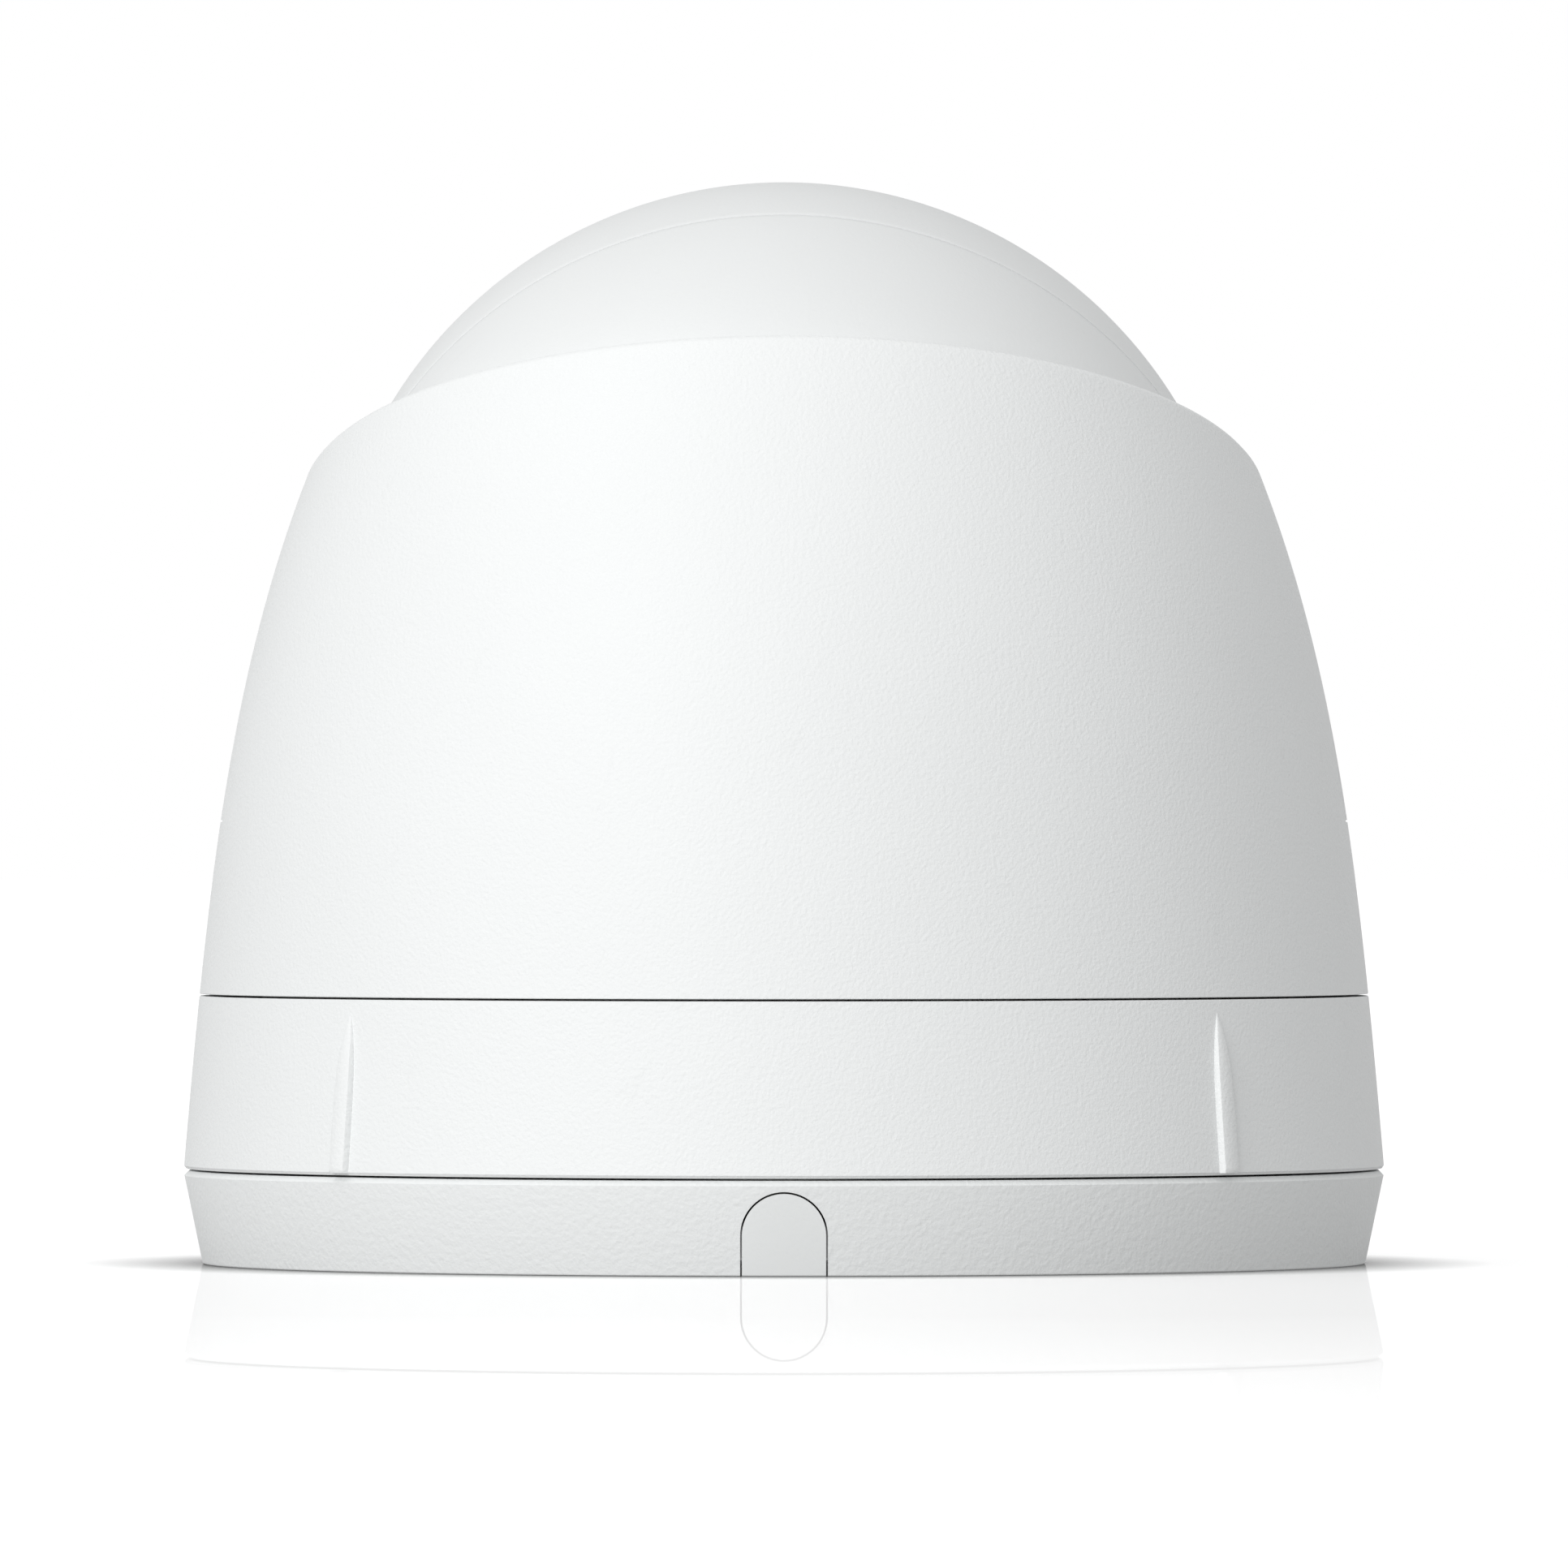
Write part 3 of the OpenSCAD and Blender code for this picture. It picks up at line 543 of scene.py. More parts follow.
class Shading:
    """The node tree of one material, around its Principled shader."""

    def __init__(self, name: str) -> None:
        """Starts a material.

        Args:
            name: The material's name.
        """
        self.material = bpy.data.materials.new(FINISH + name)
        self.material.use_nodes = True
        self.tree = self.material.node_tree
        self.shader = self.tree.nodes["Principled BSDF"]
        self.place = self.tree.nodes.new("ShaderNodeTexCoord").outputs["Object"]

    def set(self, **values: object) -> "Shading":
        """Sets the shader's own sockets.

        Args:
            values: Socket names with _ for spaces, and their values.

        Returns:
            This shading.
        """
        for label, value in values.items():
            self.shader.inputs[label.replace("_", " ")].default_value = value
        return self

    def stretched(self, scale: Sequence[float], turn: Sequence[float]) -> bpy.types.NodeSocket:
        """Object coordinates, stretched and turned.

        Args:
            scale: Scale along each axis.
            turn: Turn about each axis, in degrees.

        Returns:
            The coordinates.
        """
        mapping = self.tree.nodes.new("ShaderNodeMapping")
        mapping.vector_type = "TEXTURE"
        mapping.inputs["Rotation"].default_value = [math.radians(a) for a in turn]
        mapping.inputs["Scale"].default_value = [1 / s for s in scale]
        self.tree.links.new(self.place, mapping.inputs[0])
        return mapping.outputs[0]

    def noise(self, size: float, detail: float = 2, rough: float = 0.5,
              at: bpy.types.NodeSocket | None = None) -> Field:
        """Cloudy noise from 0 to 1.

        Args:
            size: Rough width of one cloud, in metres.
            detail: How many finer layers it has.
            rough: How strong the finer layers are.
            at: Coordinates, if not the piece's own.

        Returns:
            The noise.
        """
        node = self.tree.nodes.new("ShaderNodeTexNoise")
        node.inputs["Scale"].default_value = 1 / size
        node.inputs["Detail"].default_value = detail
        node.inputs["Roughness"].default_value = rough
        self.tree.links.new(at or self.place, node.inputs["Vector"])
        return Field(self.tree, node.outputs[0])

    def cells(self, size: float) -> Field:
        """Distances from the middles of cells about as wide as a size in metres, in cells."""
        node = self.tree.nodes.new("ShaderNodeTexVoronoi")
        node.inputs["Scale"].default_value = 1 / size
        self.tree.links.new(self.place, node.inputs["Vector"])
        return Field(self.tree, node.outputs["Distance"])

    def waves(self, pitch: float, axis: str, rings: bool = False, wobble: float = 0,
              at: bpy.types.NodeSocket | None = None) -> Field:
        """Even lines or rings from 0 to 1.

        Args:
            pitch: Distance between two lines, in metres.
            axis: The axis across the lines, or of the rings.
            rings: Whether they are rings.
            wobble: How far they wander.
            at: Coordinates, if not the piece's own.

        Returns:
            The pattern.
        """
        node = self.tree.nodes.new("ShaderNodeTexWave")
        node.wave_type = "RINGS" if rings else "BANDS"
        setattr(node, "rings_direction" if rings else "bands_direction", axis)
        node.inputs["Scale"].default_value = math.pi / (10 * pitch)
        node.inputs["Distortion"].default_value = wobble
        self.tree.links.new(at or self.place, node.inputs["Vector"])
        return Field(self.tree, node.outputs["Fac"])

    def bricks(self, width: float, height: float, line: float, at: bpy.types.NodeSocket) -> Field:
        """Mortar lines of a brick pattern, 1 on the lines."""
        node = self.tree.nodes.new("ShaderNodeTexBrick")
        for label, value in {"Scale": 1.0, "Brick Width": width, "Row Height": height, "Mortar Size": line,
                             "Mortar Smooth": 0.1}.items():
            node.inputs[label].default_value = value
        self.tree.links.new(at, node.inputs["Vector"])
        return Field(self.tree, node.outputs["Fac"])

    def colour(self, amount: Field, low: Sequence[float], high: Sequence[float]) -> "Shading":
        """Colours the surface from low to high as an amount goes from 0 to 1."""
        node = self.tree.nodes.new("ShaderNodeMix")
        node.data_type = "RGBA"
        self.tree.links.new(amount.socket, node.inputs["Factor"])
        node.inputs["A"].default_value = (*low, 1)
        node.inputs["B"].default_value = (*high, 1)
        self.tree.links.new(node.outputs["Result"], self.shader.inputs["Base Color"])
        return self

    def roughness(self, amount: Field, low: float, high: float) -> "Shading":
        """Makes the roughness go from low to high as an amount goes from 0 to 1."""
        self.tree.links.new(amount.mix(low, high).socket, self.shader.inputs["Roughness"])
        return self

    def relief(self, *layers: tuple[Field, float]) -> "Shading":
        """Adds bump in layers.

        Args:
            layers: Each layer's pattern and its depth in metres.

        Returns:
            This shading.
        """
        normal = None
        for pattern, depth in layers:
            node = self.tree.nodes.new("ShaderNodeBump")
            node.inputs["Distance"].default_value = depth
            self.tree.links.new(pattern.socket, node.inputs["Height"])
            if normal is not None:
                self.tree.links.new(normal, node.inputs["Normal"])
            normal = node.outputs[0]
        self.tree.links.new(normal, self.shader.inputs["Normal"])
        return self


@dataclass(frozen=True)
class MouldedPlastic:
    """Injection-moulded plastic with a spark-eroded grain."""

    name: str
    tint: Colour
    rough: float = 0.45
    grain: float = 0.36 * MM
    depth: float = 0.011 * MM
    scuffs: float = 0.05

    def make(self) -> bpy.types.Material:
        """Builds the material."""
        shading = Shading(self.name)
        cloud = shading.noise(14 * MM, 3)
        fine = shading.noise(self.grain, 2.5, 0.55)
        scuff = shading.noise(2.2 * MM, 6, 0.7, shading.stretched((1, 1, 0.25), (25, 10, 40)))
        marks = (scuff * 9 - 5.6).math("MINIMUM", 1.0, clamp=True)
        worn = [channel * (1 - self.scuffs) for channel in self.tint]
        shading.colour(cloud * 0.5 + marks * 0.5, self.tint, worn)
        shading.roughness(fine * 0.6 + marks * 0.4, self.rough - 0.07, self.rough + 0.1)
        shading.relief((shading.noise(7 * MM, 1), 0.02 * MM), (fine, self.depth * 4), (marks, self.depth * 0.5))
        return shading.set(IOR=1.49).material


@dataclass(frozen=True)
class Rubber:
    """Matt moulded rubber with a faint bloom."""

    name: str
    tint: Colour = (0.018, 0.018, 0.02)

    def make(self) -> bpy.types.Material:
        """Builds the material."""
        shading = Shading(self.name)
        bloom = shading.noise(3 * MM, 5, 0.65)
        pores = shading.cells(0.35 * MM)
        shading.colour(bloom, self.tint, [c + 0.02 for c in self.tint])
        shading.roughness(bloom, 0.72, 0.92)
        shading.relief((bloom, 0.03 * MM), (pores, 0.02 * MM))
        return shading.set(IOR=1.52, Specular_IOR_Level=0.35).material


class Lay(Enum):
    """Which way the machining marks of a metal run."""

    TURNED = "turned"
    BRUSHED = "brushed"
    CAST = "cast"


@dataclass(frozen=True)
class BareMetal:
    """Plated or bare metal with machining marks."""

    name: str
    tint: Colour
    rough: float = 0.3
    lay: Lay = Lay.BRUSHED

    def make(self) -> bpy.types.Material:
        """Builds the material."""
        shading = Shading(self.name)
        stains = shading.noise(2.5 * MM, 5, 0.6)
        if self.lay is Lay.TURNED:
            marks = shading.waves(0.12 * MM, "Z", rings=True, wobble=0.6)
        elif self.lay is Lay.BRUSHED:
            marks = shading.noise(0.15 * MM, 3, 0.6, shading.stretched((0.06, 1, 1), (0, 0, 20)))
        else:
            marks = shading.cells(0.3 * MM)
        shading.colour(stains, self.tint, [c * 0.72 for c in self.tint])
        shading.roughness(stains * 0.6 + marks * 0.4, self.rough - 0.08, self.rough + 0.16)
        shading.relief((marks, 0.012 * MM), (stains, 0.01 * MM))
        return shading.set(Metallic=1.0).material


@dataclass(frozen=True)
class CircuitBoard:
    """Board with solder mask over copper tracks, and tinned pads."""

    name: str
    mask: Colour
    turn: float = 0.0

    def make(self) -> bpy.types.Material:
        """Builds the material."""
        shading = Shading(self.name)
        flat = shading.stretched((1, 1, 1), (self.turn, 0, 0))
        across = shading.bricks(2.9 * MM, 1.1 * MM, 0.16 * MM, flat)
        along = shading.bricks(4.3 * MM, 1.7 * MM, 0.12 * MM, shading.stretched((1, 1, 1), (self.turn, 0, 90)))
        tracks = across.math("MAXIMUM", along)
        weave = shading.waves(0.4 * MM, "X", at=flat) * shading.waves(0.4 * MM, "Y", at=flat)
        shading.colour(tracks * 0.75 + weave * 0.1, self.mask, [min(1, c * 2.1 + 0.012) for c in self.mask])
        shading.roughness(shading.noise(1.5 * MM, 3), 0.26, 0.44)
        shading.relief((tracks, 0.03 * MM), (weave, 0.006 * MM))
        return shading.set(IOR=1.5, Coat_Weight=0.4, Coat_Roughness=0.18).material


@dataclass(frozen=True)
class CoatedGlass:
    """Polished glass or clear resin with a faint coating and dust."""

    name: str
    tint: Colour
    clear: float = 1.0
    rough: float = 0.02
    index: float = 1.5
    coat_tint: Colour = (1.0, 1.0, 1.0)

    def make(self) -> bpy.types.Material:
        """Builds the material."""
        shading = Shading(self.name)
        film = shading.noise(6 * MM, 4, 0.6)
        dust = (shading.cells(1.3 * MM) * -14 + 1).math("MAXIMUM", 0.0)
        shading.colour(film, self.tint, [min(1, c * 1.15 + 0.004) for c in self.tint])
        shading.roughness(film * 0.3 + dust * 0.7, self.rough, self.rough + 0.06)
        shading.relief((film, 0.002 * MM))
        return shading.set(IOR=self.index, Transmission_Weight=self.clear, Coat_Weight=0.6, Coat_Roughness=0.03,
                           Coat_Tint=(*self.coat_tint, 1)).material


@dataclass(frozen=True)
class MouldedChip:
    """Laser-frosted top of a moulded chip, socket or coil former."""

    name: str
    tint: Colour
    rough: float = 0.5
    pitch: float = 0.0
    metallic: float = 0.0

    def make(self) -> bpy.types.Material:
        """Builds the material."""
        shading = Shading(self.name)
        frost = shading.noise(0.12 * MM, 4, 0.7)
        cloud = shading.noise(2 * MM, 3)
        layers = [(frost, 0.01 * MM)]
        if self.pitch:
            layers.append((shading.waves(self.pitch, "Y"), 0.1 * MM))
        shading.colour(cloud * 0.5 + frost * 0.5, self.tint, [c * 0.68 for c in self.tint])
        shading.roughness(frost, self.rough - 0.1, self.rough + 0.14)
        shading.relief(*layers)
        return shading.set(Metallic=self.metallic).material


class Slot(Enum):
    """The record's material slots, each with its finish."""

    HOUSING = ("housing_white", MouldedPlastic("shell_plastic", (0.788, 0.802, 0.802), 0.6, 0.28 * MM, 0.013 * MM))
    BASE = ("base_white", MouldedPlastic("base_plastic", (0.772, 0.787, 0.786), 0.64, 0.42 * MM, 0.016 * MM))
    COVER = ("cover_white", MouldedPlastic("cover_plastic", (0.768, 0.784, 0.782), 0.52, 0.3 * MM, 0.004 * MM))
    BALL = ("ball_white", MouldedPlastic("ball_plastic", (0.733, 0.746, 0.746), 0.52, 0.3 * MM, 0.004 * MM))
    WINDOW = ("window_black", CoatedGlass("window_tint", (0.40, 0.38, 0.42), 1.0, 0.02, 1.52))
    SEAL = ("seal_rubber", Rubber("seal_rubber"))
    DARK = ("dark_plastic", MouldedPlastic("dark_plastic", (0.03, 0.031, 0.034), 0.5, 0.3 * MM))
    SPRING = ("spring_steel", BareMetal("spring_steel", (0.56, 0.57, 0.6), 0.3))
    SCREW = ("screw_steel", BareMetal("screw_steel", (0.66, 0.66, 0.64), 0.26, Lay.TURNED))
    GLIDE = ("glide_plastic", MouldedPlastic("glide_plastic", (0.66, 0.63, 0.52), 0.35, 0.3 * MM, 0.003 * MM))
    CHASSIS = ("chassis_aluminium", BareMetal("chassis_aluminium", (0.72, 0.73, 0.75), 0.36, Lay.CAST))
    BOARD = ("board_green", CircuitBoard("board_mask", (0.012, 0.10, 0.04), -67))
    LAMP_BOARD = ("lamp_board_black", CircuitBoard("lamp_board_mask", (0.010, 0.012, 0.014), -67))
    CHIP = ("chip_black", MouldedChip("chip_resin", (0.022, 0.022, 0.024)))
    PAD = ("pad_grey", MouldedChip("pad_silicone", (0.30, 0.36, 0.50), 0.7))
    SOCKET = ("socket_nylon", MouldedChip("socket_nylon", (0.80, 0.76, 0.62), 0.45, 1.2 * MM))
    SENSOR = ("sensor_glass", CoatedGlass("sensor_glass", (0.10, 0.13, 0.24), 0.5, 0.03))
    COIL = ("coil_copper", MouldedChip("coil_copper", (0.62, 0.24, 0.10), 0.3, 0.18 * MM, 0.9))
    DAY = ("filter_day", CoatedGlass("filter_day", (0.30, 0.72, 0.78), 0.85))
    NIGHT = ("filter_night", CoatedGlass("filter_night", (0.90, 0.92, 0.93), 0.95))
    LENS_BLACK = ("lens_black", BareMetal("lens_black", (0.045, 0.045, 0.05), 0.42, Lay.TURNED))
    LOCK_RING = ("lock_ring_brass", BareMetal("lock_ring_brass", (0.50, 0.36, 0.14), 0.3, Lay.TURNED))
    LENS = ("lens_glass", CoatedGlass("lens_glass", (0.78, 0.80, 0.92), 0.95, 0.01, 1.62, (0.55, 0.45, 0.95)))
    LAMP = ("lamp_resin", CoatedGlass("lamp_resin", (0.80, 0.76, 0.62), 0.55, 0.06, 1.5))
    MIC = ("mic_can", BareMetal("mic_can", (0.72, 0.66, 0.48), 0.32))
    SOCKET_METAL = ("socket_metal", BareMetal("socket_metal", (0.66, 0.67, 0.69), 0.3))
    BUTTON = ("button_red", MouldedPlastic("button_plastic", (0.52, 0.03, 0.02), 0.4, 0.2 * MM, 0.003 * MM))

    @property
    def material(self) -> bpy.types.Material:
        """The slot's material, built the first time it is asked for."""
        return bpy.data.materials.get(FINISH + self.value[1].name) or self.value[1].make()


class Body(Enum):
    """The bodies that the new pieces ride on."""

    BASE = "base"
    ENTRY_COVER = "entry_cover"
    BAND = "band"
    HOUSING = "housing"
    BALL = "ball"


def hand_over(piece: bpy.types.Object, body: Body, slot: Slot, *nodes: str) -> None:
    """Dresses a piece, joins it to its body and hides what it stands for.

    Args:
        piece: The finished piece.
        body: The body that it rides on.
        slot: Its material slot.
        nodes: The CAD nodes that it stands for.
    """
    piece.data.materials.clear()
    piece.data.materials.append(slot.material)
    for carried in ("angle", "level", "drop", "depth", "lip"):
        if carried in piece.data.attributes:
            piece.data.attributes.remove(piece.data.attributes[carried])
    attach(piece, body.value)
    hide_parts(*nodes)
    LOG.info("%s on %s, %d faces", piece.name, body.value, len(piece.data.polygons))


def dress(slot: Slot, *nodes: str) -> None:
    """Gives carried-over CAD nodes a finish.

    Args:
        slot: The finish.
        nodes: The nodes' names.
    """
    for node in nodes:
        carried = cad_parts[node]
        if not carried.material_slots:
            carried.data.materials.append(slot.material)
        for place in carried.material_slots:
            place.material = slot.material
        LOG.info("%s dressed in %s", node, slot.value[0])


# --- what repeats ----------------------------------------------------------------------------------------------

RIB_TAPER = 0.97        # share of a grip rib's height and width that is gone at its top
SECTOR_STEPS = 12       # chords in each arc of a sector
CHASSIS_SCREWS = (-28, 60, 120, 208)        # their angles on the plate, in degrees


def ring_recipe() -> Recipe:
    """The tree that repeats a shape in a ring round the Z axis.

    Returns:
        A recipe with the number of copies, the first one's angle, the angle between two, and the ring's radius.
    """
    tree = Recipe("RingOf", {"Count": 3.0, "Start": 0.0, "Step": 120.0, "Radius": 0.0})
    index = Field(tree.group, tree.add("GeometryNodeInputIndex").outputs[0])
    turn = (index * tree.number("Step") + tree.number("Start")).math("RADIANS")
    moved = tree.add("GeometryNodeTransform", {
        "Geometry": tree.source.outputs["Geometry"], "Translation": tree.vector(tree.number("Radius"), 0.0, 0.0)})
    points = tree.add("GeometryNodePoints", {"Count": tree.number("Count")})
    copies = tree.add("GeometryNodeInstanceOnPoints", {
        "Points": points.outputs[0], "Instance": moved.outputs[0], "Rotation": tree.vector(0.0, 0.0, turn)})
    return tree.close(copies.outputs[0])


def rib_recipe(rule: HousingRule) -> Recipe:
    """The tree that lays a grip rib along the housing wall, narrowing and fading at its top.

    Args:
        rule: The wall's outline.

    Returns:
        A recipe for a tube whose vertices carry along, 0 at the rib's foot and 1 at its top, across, in half widths,
        and crest, 0 at the wall and 1 on the crest.
    """
    tree = Recipe("GripRib", {"Foot": 0.0, "Height": 0.01, "Proud": 0.001, "Root": 0.001, "Width": 0.001,
                              "Fade": 4.5})
    along, across, crest = (tree.attribute(label) for label in ("along", "across", "crest"))
    z = along * tree.number("Height") + tree.number("Foot")
    fade = (along ** tree.number("Fade")) * -RIB_TAPER + 1
    above = crest.math("MAXIMUM", 0.0) * (fade * tree.number("Proud"))
    below = (crest * -1).math("MAXIMUM", 0.0) * tree.number("Root")
    moved = tree.add("GeometryNodeSetPosition", {
        "Geometry": tree.source.outputs["Geometry"],
        "Position": tree.vector(rule.radius(z) + above - below, across * fade * tree.number("Width") * 0.5, z)})
    return tree.close(moved.outputs[0])


RULE = HousingRule()
WALL = RULE.recipe()
RING = ring_recipe()
RIB = rib_recipe(RULE)


def ring(shape: bpy.types.Object, count: int, start: float, step: float, radius: float = 0.0, name: str = "tool",
         place: Matrix = UPRIGHT) -> bpy.types.Object:
    """Repeats a shape in a ring.

    Args:
        shape: The shape, which is used up.
        count: Number of copies.
        start: Angle of the first, in degrees.
        step: Angle between two, in degrees.
        radius: Radius of the ring.
        name: The result's name.
        place: Where the ring goes.

    Returns:
        The copies as one plain mesh.
    """
    piece = RING.apply(shape, name, Slot.SCREW.material,
                       {"Count": float(count), "Start": float(start), "Step": float(step), "Radius": radius})
    piece.data.transform(place)
    return smooth(piece)


def pillar(radius: float, low: float, high: float, columns: int = 24) -> bpy.types.Object:
    """A pillar between two heights, or the bore that it leaves."""
    return turned([(0, low), (radius, low), (radius, high), (0, high)], columns=columns)


def sector(inner: float, outer: float, low: float, high: float, width: float, corner: float = 0.0) -> bpy.types.Object:
    """A sector of a ring, centred on the X axis.

    Args:
        inner: Inner radius.
        outer: Outer radius.
        low: Foot.
        high: Top.
        width: Angle that it covers, in degrees.
        corner: How much is cut off its outer corners.

    Returns:
        The closed solid.
    """
    half, pull = width / 2, math.degrees(corner / outer)
    first, last = (arc((0, 0), outer - corner, side, side, 0) if corner else [] for side in (-half, half))
    outline = arc((0, 0), inner, half, -half, SECTOR_STEPS) + first
    outline += arc((0, 0), outer, -half + pull, half - pull, SECTOR_STEPS) + last
    return prism(outline, low, high)


@dataclass(frozen=True)
class ScrewSize:
    """A pan-head screw with a cross recess, its head seated at a height and its tip at another.

    The thread's root is a share of the shank's radius, and the recess is in shares of the head's radius and height.
    """

    shank_r: float
    head_r: float
    head_h: float
    seat: float
    tip: float
    pitch: float = 0.4 * MM
    root: float = 0.84
    recess_wide: float = 0.62
    recess_narrow: float = 0.15
    recess_deep: float = 0.55

    def make(self) -> bpy.types.Object:
        """Builds one screw on the Z axis, with a rolled thread and a recessed head."""
        up = 1 if self.tip > self.seat else -1
        length = abs(self.tip - self.seat)
        outline = rounded([
            (0, -self.head_h, 0), (self.head_r, -self.head_h, self.head_h * 0.6), (self.head_r, 0, self.head_h * 0.12),
            (self.shank_r * 0.9, 0, 0)], closed=False)
        for turn in range(max(2, int(length / self.pitch) - 1)):
            foot = self.pitch * (turn + 0.6)
            outline += [(self.shank_r * self.root, foot), (self.shank_r, foot + self.pitch * 0.5)]
        outline += [(self.shank_r * 0.8, length - self.shank_r * 0.4), (self.shank_r * 0.4, length), (0.0, length)]
        wide, narrow = self.head_r * self.recess_wide, self.head_r * self.recess_narrow
        floor = -self.head_h + self.head_h * self.recess_deep
        screw = carve(turned(outline, columns=28), [
            prism(box_outline(2 * a, 2 * b), -self.head_h * 1.5, floor) for a, b in ((wide, narrow), (narrow, wide))])
        screw.data.transform(Matrix.Translation((0, 0, self.seat)) @ Matrix.Diagonal((1, up, up, 1)))
        return screw


# --- frames that the pieces are built in -----------------------------------------------------------------------

LENS_UP = 23.0
PORT_POLAR = 62.0
AT_BALL = Matrix.Translation((0, 0, RULE.ball_z))
IN_BALL = AT_BALL @ Matrix.Rotation(math.radians(LENS_UP - 90), 4, "X")
IN_PORT = IN_BALL @ Matrix.Rotation(math.radians(-PORT_POLAR), 4, "X")
TRUNNIONS = [AT_BALL @ Matrix.Rotation(math.radians(side), 4, "Y") for side in (-90, 90)]
LAMP_SCREW_CIRCLE = 14.6 * MM


def wall_core(depth: float, high: float = 69 * MM) -> bpy.types.Object:
    """Everything within the housing outline moved in by a depth."""
    outline = [(0.0, 0.0)] + [(RULE.radius(z) - depth, z) for z in np.linspace(0.0, high, 90)] + [(0.0, high)]
    return turned(outline, columns=AROUND)


def ball_solid(radius: float, place: Matrix, columns: int = 128) -> bpy.types.Object:
    """A closed ball whose poles are on the Z axis of a frame."""
    line = arc((0, 0), radius, -90, 90, 64)
    line[0], line[-1] = (0.0, -radius), (0.0, radius)
    return turned(line, columns=columns, place=place)


# --- the base and its cover ------------------------------------------------------------------------------------

@dataclass
class MountingBase:
    """Tapered ring and floor that screws to the wall, its gasket and the cover of its side cable entry."""

    foot_r: float = 41.2 * MM
    top_r: float = 42.5 * MM
    height: float = 6.6 * MM
    chamfer: float = 0.35 * MM
    floor: float = 2.6 * MM
    wall_in_r: float = 39.6 * MM
    post_in_r: float = 33.5 * MM
    post_r: float = 35.5 * MM
    lug_r: float = 37 * MM
    lug_z: Point2 = (8.2 * MM, 9.6 * MM)
    lug_angle: float = 22.0
    lug_at: float = 30.0
    lug_corner: float = 0.3 * MM
    cable_r: float = 9 * MM
    gasket_r: Point2 = (36.2 * MM, 39.8 * MM)
    gasket_h: float = 1 * MM
    gasket_round: float = 0.25 * MM
    hole_r: float = 2.25 * MM
    hole_flare: float = 0.45 * MM
    hole_circle: float = 25 * MM
    channel_w: float = 6.2 * MM
    entry_w: float = 5.8 * MM
    entry_h: float = 5.7 * MM
    entry_in: float = 39.1 * MM
    gap: float = 0.13 * MM
    beyond: float = 46 * MM
    under: float = -1 * MM

    def outside(self) -> list[tuple[float, float, float]]:
        """Corners of the tapered outside, from the foot to the top's inner edge."""
        return [(self.foot_r, 0, 0.15 * MM), (self.top_r, self.height - self.chamfer, 0.06 * MM),
                (self.top_r - self.chamfer, self.height, 0.06 * MM)]

    def entry(self, grown: float) -> bpy.types.Object:
        """Prism of the arched cable entry through the wall, grown all round by a distance."""
        half = self.entry_w / 2
        outline = [(-half - grown, self.under), (half + grown, self.under)]
        outline += arc((0, self.entry_h - half), half + grown, 0, 180, 32)
        return prism(outline, self.entry_in, self.beyond, BACKWARDS)

    def channel(self, top: float, start: float, end: float) -> bpy.types.Object:
        """Prism of the channel that leads the cable to the side, up to a height and between two distances."""
        half = self.channel_w / 2
        return prism([(-half, self.under), (half, self.under), (half, top), (-half, top)], start, end, BACKWARDS)

    def ring(self) -> bpy.types.Object:
        """Builds the base."""
        low, high = self.gasket_r
        corners = [(self.cable_r, 0, 0.2 * MM), (low, 0, 0.08 * MM), (low, self.gasket_h, 0),
                   (high, self.gasket_h, 0), (high, 0, 0.08 * MM), *self.outside(),
                   (self.wall_in_r, self.height, 0.2 * MM), (self.wall_in_r, self.floor, 0.5 * MM),
                   (self.post_r, self.floor, 0.5 * MM), (self.post_r, self.lug_z[1], 0.2 * MM),
                   (self.post_in_r, self.lug_z[1], 0.3 * MM), (self.post_in_r, self.floor, 0.6 * MM),
                   (self.cable_r, self.floor, 0.5 * MM)]
        base = turned(rounded(corners), "mounting_base", AROUND)
        lug = sector(self.post_r - 0.5 * MM, self.lug_r, *self.lug_z, self.lug_angle, self.lug_corner)
        base = carve(base, [ring(lug, 3, self.lug_at, 120)], Cut.ONTO)
        wide, top = self.hole_r + self.hole_flare, 4 * MM
        flare = turned([(0, self.under), (self.hole_r, self.under), (self.hole_r, self.floor - 0.4 * MM),
                        (wide, self.floor + 0.05 * MM), (wide, top), (0, top)], columns=48)
        return carve(base, [ring(flare, 4, 45, 90, self.hole_circle),
                            self.channel(self.entry_h + 0.05 * MM, -0.01 * MM, self.entry_in), self.entry(self.gap)])

    def cover(self) -> bpy.types.Object:
        """Builds the cover of the side cable entry, shaped to the base's outside."""
        outside = turned(rounded([(0, 0, 0), *self.outside(), (0, self.height, 0)]), columns=AROUND)
        return renamed(carve(self.entry(0), [outside], Cut.WITHIN), "cable_cover")

    def gasket(self) -> bpy.types.Object:
        """Builds the foam rubber gasket."""
        (low, high), top, edge = self.gasket_r, self.gasket_h, self.gasket_round
        gasket = turned(rounded([(low, 0, edge), (high, 0, edge), (high, top, 0), (low, top, 0)]),
                        "wall_gasket", AROUND)
        return carve(gasket, [self.channel(3 * MM, 1 * MM, self.beyond)])

    def build(self) -> None:
        """Builds the sub-assembly."""
        hand_over(self.ring(), Body.BASE, Slot.BASE, "mount_base")
        hand_over(self.gasket(), Body.BASE, Slot.SEAL, "base_gasket")
        hand_over(self.cover(), Body.ENTRY_COVER, Slot.COVER, "cable_entry_cover")


# --- the band and what is in it --------------------------------------------------------------------------------

def at(r: float, z: float, foot: float) -> WallPoint:
    """A section point at a fixed radius and height, on a wall that starts at a foot."""
    return WallPoint(0.0, foot - z, RULE.radius(z) - r)


